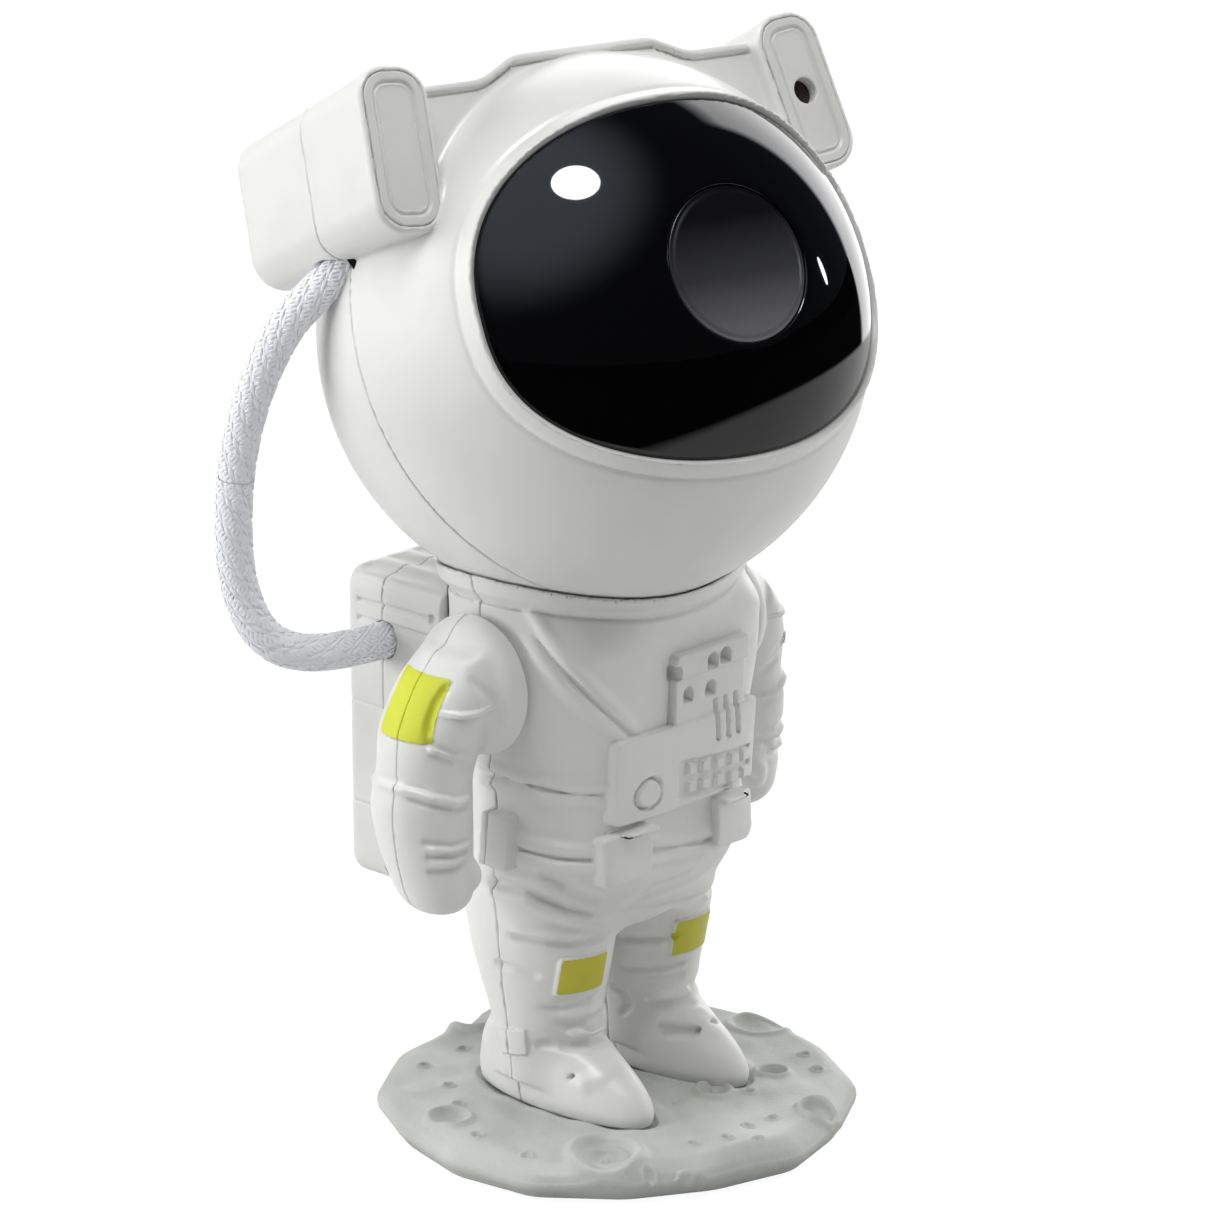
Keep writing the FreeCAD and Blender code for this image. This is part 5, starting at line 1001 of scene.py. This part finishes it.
def braidedHose(name, points, marks, fromMark, toMark, total):
    """A sleeve of flat yarns wound both ways, each two over and two under the others: a yarn's centre is at
    radius r + lift * wave(crossings), angle +-2 pi s / turn, over a plain inner tube."""
    keep_ = (marks >= fromMark - 1e-6) & (marks <= toMark + 1e-6)
    line, s = points[keep_], marks[keep_]
    across, over = frames[0][keep_], frames[1][keep_]
    count = hose["strands"]
    radius = hose["diameter"] / 2 - 0.3
    allPoints, allFaces, allUv, kinds = [], [], [], []
    start = 0
    near = np.minimum(s, total - s)
    width = hose["strandWidth"] * (0.8 + 0.2 * ramp(5, 28, near))
    for way in (1, -1):
        for i in range(count):
            angle = way * 2 * math.pi * s / hose["turnLength"] + 2 * math.pi * i / count
            phase = 2 * math.pi * (s * count / hose["turnLength"] * 2 + (i if way > 0 else i + 2)) / 4
            lift = 0.13 * np.clip(1.6 * np.sin(phase + (0 if way > 0 else math.pi)), -1, 1)
            rows = []
            slant = math.atan2(2 * math.pi * radius, hose["turnLength"])
            for u, v in ((-0.5, 0.0), (-0.25, 0.5), (0.25, 0.5), (0.5, 0.0), (0.0, -0.5)):
                turn = angle + u * width * math.cos(slant) / radius
                reach = radius + lift + v * 0.3
                slide = -way * u * width * math.sin(slant)
                out = np.cos(turn)[:, None] * across + np.sin(turn)[:, None] * over
                rows.append(line + out * reach[:, None] + slide[:, None] * pathWays[keep_])
            ring = np.stack(rows, 1)
            ring[0] = ring[0].mean(0)
            ring[-1] = ring[-1].mean(0)
            ring = ring.reshape(-1, 3)
            faces = gridFaces(len(s), 5, True)
            allPoints.append(ring)
            allFaces.append(faces + start)
            allUv.append(np.stack([np.repeat(s, 5) + i * 7.3, np.tile([0, 0.25, 0.75, 1.0, 0.5], len(s))], 1))
            kinds.append(np.zeros(len(faces), int))
            start += len(ring)
    # Inner tube, grey as painted shade in the gaps between the yarns
    turns = np.linspace(0, 2 * math.pi, 28, endpoint=False)
    core = (line[:, None, :] + (radius - 0.45) * (np.cos(turns)[None, :, None] * across[:, None, :]
                                                 + np.sin(turns)[None, :, None] * over[:, None, :]))
    core[0], core[-1] = line[0], line[-1]
    allPoints.append(core.reshape(-1, 3))
    coreFaces = gridFaces(len(s), 28, True)
    allFaces.append(coreFaces + start)
    allUv.append(np.zeros((len(s) * 28, 2)))
    kinds.append(np.ones(len(coreFaces), int))
    points_, faces_ = np.concatenate(allPoints), np.concatenate(allFaces)
    piece = addPiece(name, points_, faces_, yarn)
    piece.data.materials.append(hoseGapShade)
    kinds = np.concatenate(kinds)
    piece.data.polygons.foreach_set("material_index", kinds.astype(np.int32))
    uv = np.concatenate(allUv)
    layer = piece.data.uv_layers.new(name="strand")
    corner = np.zeros(len(piece.data.loops), np.int32)
    piece.data.loops.foreach_get("vertex_index", corner)
    layer.data.foreach_set("uv", uv[corner].astype(np.float32).ravel())
    merge(piece)
    return piece, line


# The inner tube is coloured grey as painted shade for the gaps in the braid
hoseGapShade = mouldedPlastic("hoseCorePaintedShade", "#8F9096", "#7E8086", 0.6, 0.5, 0.01)
hoseLine, hoseMarks = evenly(routePoints(hosePoints), 0.25)
hoseTotal = hoseMarks[-1]
frames = pathFrames(hoseLine)
pathWays = np.gradient(hoseLine, axis=0)
pathWays /= np.linalg.norm(pathWays, axis=1)[:, None]
meet = np.array([-59.757, 48.784, 141.76])
meetIndex = int(np.argmin(np.linalg.norm(hoseLine - meet, axis=1)))
startIndex = int(np.argmin(np.linalg.norm(hoseLine - np.array([-26.5, 38.8, 102.7]), axis=1)))
for name, first, last, bodies in (("hoseLowerBraid", startIndex, meetIndex, ("figure", "neck")),
                                  ("hoseUpperBraid", meetIndex, len(hoseLine) - 1, ("neck", "head"))):
    piece, line = braidedHose(name, hoseLine, hoseMarks, hoseMarks[first], hoseMarks[last], hoseTotal)
    path = line / 1000
    length = float(np.linalg.norm(np.diff(path, axis=0), axis=1).sum())
    lower = bodies[0] == "figure"
    tuple(path[0])
    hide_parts("hose_lower" if lower else "hose_upper")
    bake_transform(piece)
    print("hose part", name, "length %.1f mm" % (length * 1000), "triangles", 2 * len(piece.data.polygons))


# Pieces from fields

def fieldPiece(name, field, low, high, cell, material, body, node, toRow=None, mark=None):
    points, quads, normals = fieldMesh(field, low, high, cell)
    marks = {"paint": mark(points)} if mark else None
    if toRow is not None:
        points, normals = fromHead(points), normals @ headTurn().T
    piece = addPiece(name, points, quads, material, normals, marks)
    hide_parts(node)
    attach(piece, body)
    print("made", name, "triangles", 2 * len(quads))
    return piece


coarser = 1.0
# The helmet's halves are near the most triangles that a piece may have
helmetCells = dict(front=0.69, rear=0.8)

fieldPiece("helmetFront", frontHelmet, (-62, -60, -58), (62, 2, 60), helmetCells["front"] * coarser, whiteAbs, "head",
           "helmet_front_shell", toRow=True)
fieldPiece("helmetRear", rearHelmet, (-62, -2, -58), (62, 60, 60), helmetCells["rear"] * coarser, whiteAbs, "head",
           "helmet_rear_shell", toRow=True)
for side, sideName in ((-1, "right"), (1, "left")):
    x = side * earBox["across"]
    fieldPiece(sideName + "EarCap", earCapField(side), (x - 12, -26, 16), (x + 12, -20, 60), 0.35 * coarser,
               capAbs,
               "head", sideName + "_ear_cap", toRow=True)
fieldPiece("bodyFront", bodyHalf(1), (-42, -32, 6), (42, 8, 136), 0.55 * coarser, suitAbs, "figure",
           "torso_front_shell", mark=kneeOutline)
fieldPiece("bodyRear", bodyHalf(-1), (-42, 4, 6), (42, 42, 136), 0.7 * coarser, suitAbs, "figure",
           "torso_rear_shell", mark=kneeOutline)
fieldPiece("backpackFront", packHalf(1), (-32, 18, 46), (32, 41, 120), 0.55 * coarser, packAbs, "figure",
           "backpack_front")
fieldPiece("backpackCover", packHalf(-1), (-32, 37, 46), (32, 52, 120), 0.5 * coarser, packAbs, "figure",
           "backpack_rear_cover")
for mirror, sideName in ((-1, "right"), (1, "left")):
    for sign, half in ((-1, "Front"), (1, "Rear")):
        # The arm's field is made for the left side and mirrored in its own coordinates
        def armSide(p, sign=sign, mirror=mirror):
            return armHalf(sign)(p * np.array([mirror, 1, 1]))

        def armMark(p, mirror=mirror):
            return bandOutline(p * np.array([mirror, 1, 1]))
        low, high = np.array((32.0, -14, 50)), np.array((62.0, 28, 122))
        if mirror < 0:
            low[0], high[0] = -high[0], -low[0]
        fieldPiece(sideName + "Arm" + half, armSide, low, high, 0.42 * coarser, whiteAbs, sideName + "_arm",
                   "%s_arm_%s_shell" % (sideName, half.lower()), mark=armMark)


# Visor: a part of a ball, its edge rolled over, with a round hole for the window

def visorPiece():
    """Rings from the window's hole to the outline: at share t the ring lies between a circle and the visor's
    rounded outline, laid on the ball; the rolled edge and the wall's inner side close it."""
    columns = 360
    turn = np.linspace(0, 2 * math.pi, columns, endpoint=False)
    power = visor["power"] + 0.15 * np.sin(turn)
    edge = (np.abs(np.cos(turn) / visor["halfWidth"]) ** power
            + np.abs(np.sin(turn) / visor["halfHeight"]) ** power) ** (-1 / power)
    hole = window["opening"]
    outer, thick = head["radius"], visor["thickness"]
    rows = []
    for share in np.concatenate([[0.0, 0.012], np.linspace(0.04, 0.985, 40), [0.995, 1.0]]):
        reach = hole + (edge - hole) * share
        drop = 0.0
        if share < 0.02:
            drop = 0.5 * (1 - share / 0.02)
        if share > 0.985:
            drop = 0.35 * ((share - 0.985) / 0.015) ** 2
        rows.append((reach, outer - drop))
    for share, ball in ((1.0, outer - thick), (0.0, outer - thick)):
        rows.append((hole + (edge - hole) * share, ball))
    reach = np.array([row[0] for row in rows])
    ball = np.array([row[1] for row in rows])[:, None] * np.ones(columns)
    x, z = reach * np.cos(turn), reach * np.sin(turn)
    y = -np.sqrt(ball ** 2 - x ** 2 - z ** 2)
    points = np.stack([x, y, z], -1).reshape(-1, 3)
    faces = gridFaces(len(rows), columns, True)
    last = (len(rows) - 1) * columns
    j = np.arange(columns)
    closing = np.stack([last + j, last + (j + 1) % columns, (j + 1) % columns, j], 1)
    faces = np.concatenate([faces, closing])[:, ::-1]
    piece = addPiece("visorShield", fromHead(points), faces, visorAcrylic)
    merge(piece)
    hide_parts("visor")
    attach(piece, "head")


def lathe(name, profile, columns, material, body, node):
    """A profile of (radius, forward distance) turned about the head's forward axis."""
    turn = np.linspace(0, 2 * math.pi, columns, endpoint=False)
    profile = np.array(profile, float)
    points = np.stack([profile[:, :1] * np.cos(turn), -profile[:, 1:] * np.ones(columns),
                       profile[:, :1] * np.sin(turn)], -1).reshape(-1, 3)
    faces = gridFaces(len(profile), columns, True)[:, ::-1]
    piece = addPiece(name, fromHead(points), faces, material)
    merge(piece)
    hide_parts(node)
    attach(piece, body)
    return piece


def windowPiece():
    """A smoked disc with a rounded rim and a shallow bevel, profile by share of its radius."""
    r, front, rear = window["radius"], window["front"], window["rear"]
    profile = [(0.0, front + window["dome"])]
    profile += [(r * t, front + window["dome"] * (1 - t * t)) for t in np.linspace(0.05, 0.93, 22)]
    profile += [(r * 0.945, front - 0.1), (r * 0.965, front - 0.12)]
    profile += [(r - 0.35 + 0.35 * math.sin(a), front - 0.35 + 0.3 * math.cos(a))
                for a in np.linspace(0.2, math.pi / 2, 5)]
    profile += [(r, rear + 0.1), (r - 0.1, rear), (r * 0.5, rear), (0.0, rear)]
    lathe("windowDisc", profile, 128, windowAcrylic, "head", "projection_window")


visorPiece()
windowPiece()
print("made visor and window")


# Moon base: heights over a polar grid

rimShares = [1.0, 0.985, 1.02, 1.0, 0.975, 1.0, 1.015, 0.98, 1.0, 1.02, 0.985, 0.975, 1.01, 0.99, 1.02, 0.98]
# Craters as (across, along, radius, depth, rim height)
craters = [(-31.5, -26.2, 7.2, 1.0, 0.55), (-31.5, -26.2, 4.0, 0.45, 0.35), (-31.5, -26.2, 1.4, -0.8, 0.0),
           (7.2, -20.9, 3.6, 1.3, 0.5), (23.3, -23.0, 3.5, 1.4, 0.45), (15.4, -42.3, 4.0, 1.2, 0.5),
           (3.0, 43.5, 6.0, 1.2, 0.6), (42.0, -3.0, 6.5, 0.8, 0.35), (-40.0, 10.0, 4.5, 0.8, 0.4),
           (31.0, 26.0, 4.5, 1.0, 0.45), (-25.0, -43.0, 2.6, 0.9, 0.3), (-22.5, -44.0, 1.8, 0.7, 0.2),
           (-42.8, -14.9, 1.3, 0.5, 0.2), (-29.8, -36.6, 1.4, 0.5, 0.25), (-2.2, -19.8, 1.2, 0.45, 0.2),
           (-1.0, -37.7, 1.3, 0.5, 0.2), (-9.7, -39.5, 1.3, 0.5, 0.2), (12.0, -26.5, 1.2, 0.5, 0.2),
           (5.9, -38.3, 1.3, 0.5, 0.2), (-5.6, -44.5, 1.2, 0.4, 0.2), (-43.0, -1.0, 1.4, 0.5, 0.2),
           (-28.0, 22.0, 1.3, 0.4, 0.2), (-24.0, 33.0, 1.3, 0.4, 0.2), (-34.0, 13.3, 1.3, 0.5, 0.2),
           (32.1, -28.0, 1.3, 0.5, 0.2), (35.5, -21.4, 1.2, 0.4, 0.2), (-15.5, -35.7, 1.3, 0.5, 0.2),
           (20.0, 34.0, 1.3, 0.5, 0.2), (-10.0, 35.0, 1.4, 0.4, 0.2), (38.0, 12.0, 1.4, 0.5, 0.2),
           (0.0, 12.0, 1.3, 0.4, 0.2), (-1.0, 28.0, 1.5, 0.5, 0.2)]


def smoothNoise(x, y, size, seed):
    """A sum of slow waves in fixed directions, between about -1 and 1."""
    rng = np.random.default_rng(seed)
    total = 0
    for _ in range(9):
        angle, phase, stretch = rng.uniform(0, 2 * math.pi), rng.uniform(0, 2 * math.pi), rng.uniform(0.6,
                                                                                                      1.7)
        along = x * math.cos(angle) + y * math.sin(angle)
        total = total + np.sin(along * 2 * math.pi * stretch / size + phase)
    return total / 4.0


def outlineShare(turn):
    """The base's uneven edge: the chord between its corners, as a share of the radius."""
    count = len(rimShares)
    spot = turn / (2 * math.pi) * count
    i = np.floor(spot).astype(int) % count
    a, b = np.array(rimShares)[i], np.array(rimShares)[(i + 1) % count]
    t0, t1 = i * 2 * math.pi / count, (i + 1) * 2 * math.pi / count
    p, q = np.stack([a * np.cos(t0), a * np.sin(t0)]), np.stack([b * np.cos(t1), b * np.sin(t1)])
    d = q - p
    return (p[0] * d[1] - p[1] * d[0]) / (np.cos(turn) * d[1] - np.sin(turn) * d[0])


def baseHeight(x, y, share):
    """Height of the top over the ground: a low dome, waves, craters and the boots' prints."""
    away = (1 - share) * base["radius"]
    dome = base["top"] - (base["top"] - base["rim"]) * ramp(5.2, -1.2, away) ** 1.2
    height = dome + 0.35 * smoothNoise(x, y, 34, 3) + 0.2 * smoothNoise(x, y, 11, 5) * ramp(0, 4, away)
    for cx, cy, radius, depth, rim in craters:
        d = np.hypot(x - cx, y - cy) / radius
        height = height - 2.0 * depth * np.clip(1 - (d / 0.85) ** 2, 0, 1) ** 0.8 + 2.2 * rim * bump(d - 1.0,
                                                                                                     0.17)
    both = np.hypot((np.abs(x) - figure["legAcross"]) / 9.1, (y - figure["bootBack"]) / 24.0)
    height = height + 0.35 * bump(both - 1.16, 0.1)
    return height - 1.2 * ramp(1.035, 0.995, both)


def moonBase():
    """Rings over the top, down the skirt and back under it to the plate's recess."""
    columns = 640
    turn = np.linspace(0, 2 * math.pi, columns, endpoint=False)
    edge = outlineShare(turn)
    soft = np.stack([np.roll(edge, k) for k in range(-5, 6)]).mean(0)
    rows = []
    for share in np.concatenate([np.linspace(0.0, 0.975, 128), [0.985, 0.993, 0.998, 1.0]]):
        r = share * base["radius"] * (soft if share > 0.5 else 1 + (soft - 1) * share / 0.5)
        x, y = r * np.cos(turn), r * np.sin(turn)
        z = baseHeight(x, y, share) - 0.9 * ramp(0.98, 1.0, share)
        rows.append(np.stack([x, y, z], -1))
    rim = rows[-1]
    skirt = base["radius"] - 1.4
    inner = skirt - 2.2
    outer = base["radius"]
    # Down the side as shares of the rim's height, then over the underside at fixed heights
    for out, z, keepShare in ((outer + 0.12, None, 0.82), (outer - 0.1, None, 0.62), (outer - 0.6, 2.6, 0),
                              (skirt, 1.35, 0), (skirt - 0.3, 1.0, 0), (inner, 1.0, 0), (inner, 6.2, 0),
                              (0.0, 6.2, 0)):
        level = rim[:, 2] * keepShare if z is None else z
        rows.append(np.stack([out * soft * np.cos(turn), out * soft * np.sin(turn), level * np.ones(columns)],
                             -1))
    points = np.stack(rows).reshape(-1, 3)
    faces = gridFaces(len(rows), columns, True)
    piece = addPiece("moonDisc", points, faces, moonAbs)
    merge(piece)
    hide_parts("moon_base")
    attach(piece, "figure")


moonBase()
print("made base")


# Finishes for the CAD nodes that stay
nodeSlots = {part["node"]: part["material_slot"] for part in frame["record"]["subparts"]}
for name, node in frame["nodes"].items():
    slotName = nodeSlots[name]
    # The laser's grating takes the dark film: painted shade in its hole
    finish = laserHoleShade if name == "laser_grating" else slotFinish[slotName]
    node.data.materials.clear()
    node.data.materials.append(finish)


# Floor, world and lamps

def backdropShare(tree, way):
    """1 where a direction, or a spot on the floor, lies between azimuths 94 and 150, and 0 elsewhere."""
    sides = []
    for normal in ((-0.07, 0.998, 0), (0.866, -0.5, 0)):
        across = addNode(tree, "ShaderNodeVectorMath", dict(operation="DOT_PRODUCT"), i0=way, i1=normal)
        side = addNode(tree, "ShaderNodeMapRange", Value=across.outputs["Value"], From_Min=-0.02,
                       From_Max=0.03)
        sides.append(side.outputs[0])
    return addNode(tree, "ShaderNodeMath", dict(operation="MULTIPLY"), i0=sides[0], i1=sides[1]).outputs[0]


def studioFloor():
    """A wide flat sheet, white to the camera with a faint shadow under the object."""
    size = 30.0
    mesh = bpy.data.meshes.new("studioFloor")
    mesh.from_pydata([(-size, -size, 0), (size, -size, 0), (size, size, 0), (-size, size, 0)], [],
                     [(0, 1, 2, 3)])
    floor = bpy.data.objects.new("studioFloor", mesh)
    bpy.context.scene.collection.objects.link(floor)
    material, tree = newMaterial("studioPaper")
    rays = addNode(tree, "ShaderNodeLightPath")
    # The sheet that gloss mirrors is a round one that ends in the dark
    spot = addNode(tree, "ShaderNodeTexCoord").outputs["Object"]
    away = addNode(tree, "ShaderNodeVectorMath", dict(operation="DISTANCE"), i0=spot, i1=(0.27, 0.03, 0.0))
    outside = addNode(tree, "ShaderNodeMapRange", Value=away.outputs["Value"], From_Min=0.45, From_Max=0.49)
    hidden = addNode(tree, "ShaderNodeMath", dict(operation="MULTIPLY"), i0=outside.outputs[0],
                     i1=rays.outputs["Is Glossy Ray"])
    tint = addNode(tree, "ShaderNodeMix", dict(data_type="RGBA"), i0=hidden.outputs[0], i6=linear("#F4F4F4"),
                   i7=linear("#101010"))
    under = addNode(tree, "ShaderNodeMix", dict(data_type="RGBA"), i0=rays.outputs["Is Diffuse Ray"],
                    i6=tint.outputs[2], i7=linear("#D2D2D2"))
    paper = addNode(tree, "ShaderNodeBsdfDiffuse", Color=under.outputs[2])
    behind = addNode(tree, "ShaderNodeMath", dict(operation="MULTIPLY"), i0=backdropShare(tree, spot),
                     i1=hidden.outputs[0])
    backdrop = addNode(tree, "ShaderNodeEmission", Color=(1, 1, 1, 1), Strength=2.2)
    sheet = addNode(tree, "ShaderNodeMixShader", i0=behind.outputs[0], i1=paper.outputs[0],
                    i2=backdrop.outputs[0])
    white = addNode(tree, "ShaderNodeEmission", Color=(1, 1, 1, 1), Strength=1.12)
    share = addNode(tree, "ShaderNodeMath", dict(operation="MULTIPLY"), i0=rays.outputs["Is Camera Ray"],
                    i1=0.85)
    shader = addNode(tree, "ShaderNodeMixShader", i0=share.outputs[0], i1=sheet.outputs[0],
                     i2=white.outputs[0])
    finishMaterial(tree, shader)
    mesh.materials.append(material)


def studioWorld():
    """White to the camera and as a soft fill, darker where glossy pieces mirror it."""
    world = bpy.data.worlds.new("studioWorld")
    bpy.context.scene.world = world
    world.use_nodes = True
    tree = world.node_tree
    tree.nodes.clear()
    rays = addNode(tree, "ShaderNodeLightPath")
    fill = addNode(tree, "ShaderNodeBackground", Color=(0.985, 0.99, 1.0, 1), Strength=0.1)
    # Gloss mirrors a white backdrop behind the object to its left, and a haze about the overhead lamp
    way = addNode(tree, "ShaderNodeTexCoord").outputs["Generated"]
    height = addNode(tree, "ShaderNodeSeparateXYZ", Vector=way).outputs["Z"]
    below = addNode(tree, "ShaderNodeMapRange", Value=height, From_Min=0.62, From_Max=0.72, To_Min=1.0,
                    To_Max=0.0)
    glow = addNode(tree, "ShaderNodeMath", dict(operation="MULTIPLY"), i0=backdropShare(tree, way),
                   i1=below.outputs[0]).outputs[0]
    toLamp = addNode(tree, "ShaderNodeVectorMath", dict(operation="DOT_PRODUCT"), i0=way,
                     i1=(-0.46, 0.08, 0.88))
    haze = addNode(tree, "ShaderNodeMapRange", dict(interpolation_type="SMOOTHERSTEP"),
                   Value=toLamp.outputs["Value"],
                   From_Min=0.62, From_Max=1.0, To_Min=0.04, To_Max=1.1)
    tint = addNode(tree, "ShaderNodeMix", dict(data_type="RGBA"), i0=glow, i6=(0.78, 0.86, 1.0, 1),
                   i7=(1, 1, 1, 1))
    level = addNode(tree, "ShaderNodeMix", i0=glow, i2=haze.outputs[0], i3=2.4)
    mirrored = addNode(tree, "ShaderNodeBackground", Color=tint.outputs[2], Strength=level.outputs[0])
    white = addNode(tree, "ShaderNodeBackground", Color=(1, 1, 1, 1), Strength=1.0)
    first = addNode(tree, "ShaderNodeMixShader", i0=rays.outputs["Is Glossy Ray"], i1=fill.outputs[0],
                    i2=mirrored.outputs[0])
    seen = addNode(tree, "ShaderNodeMath", dict(operation="MAXIMUM"), i0=rays.outputs["Is Camera Ray"],
                   i1=rays.outputs["Is Transmission Ray"])
    both = addNode(tree, "ShaderNodeMixShader", i0=seen.outputs[0], i1=first.outputs[0], i2=white.outputs[0])
    addNode(tree, "ShaderNodeOutputWorld", Surface=both.outputs[0])


def lamp(name, azimuth, elevation, distance, width, height, power, mirrored=False, aim=(0, 0, 0.12)):
    """An area lamp that faces the object: mirrored ones are cards that only gloss shows, the rest only light."""
    a, e = math.radians(azimuth), math.radians(elevation)
    way = Vector((math.sin(a) * math.cos(e), -math.cos(a) * math.cos(e), math.sin(e)))
    light = bpy.data.lights.new(name, "AREA")
    light.shape = "ELLIPSE" if mirrored else "RECTANGLE"
    light.size, light.size_y = width, height
    light.energy = power
    holder = bpy.data.objects.new(name, light)
    holder.visible_diffuse = not mirrored
    holder.visible_glossy = mirrored
    holder.location = Vector(aim) + way * distance
    holder.rotation_euler = way.to_track_quat("Z", "Y").to_euler()
    bpy.context.scene.collection.objects.link(holder)


studioFloor()
studioWorld()
# Azimuth 0 is in front of the object and grows to its left
lamp("topCard", -72, 75, 1.1, 0.33, 0.3, 8.0, mirrored=True, aim=(-0.02, -0.01, 0.17))
lamp("rightCard", 68, 8, 1.3, 0.05, 0.16, 0.5, mirrored=True, aim=(0.02, -0.02, 0.17))
lamp("leftWall", -135, 8, 1.6, 1.4, 1.1, 24.0)
lamp("rightWall", 85, 10, 1.6, 1.3, 1.1, 13.0)
lamp("rightFront", 42, 28, 1.7, 0.9, 0.9, 5.0)
lamp("topFill", -70, 74, 1.6, 1.3, 1.3, 19.0)
scene = bpy.context.scene
scene.view_settings.view_transform = "Standard"
print("stage set")
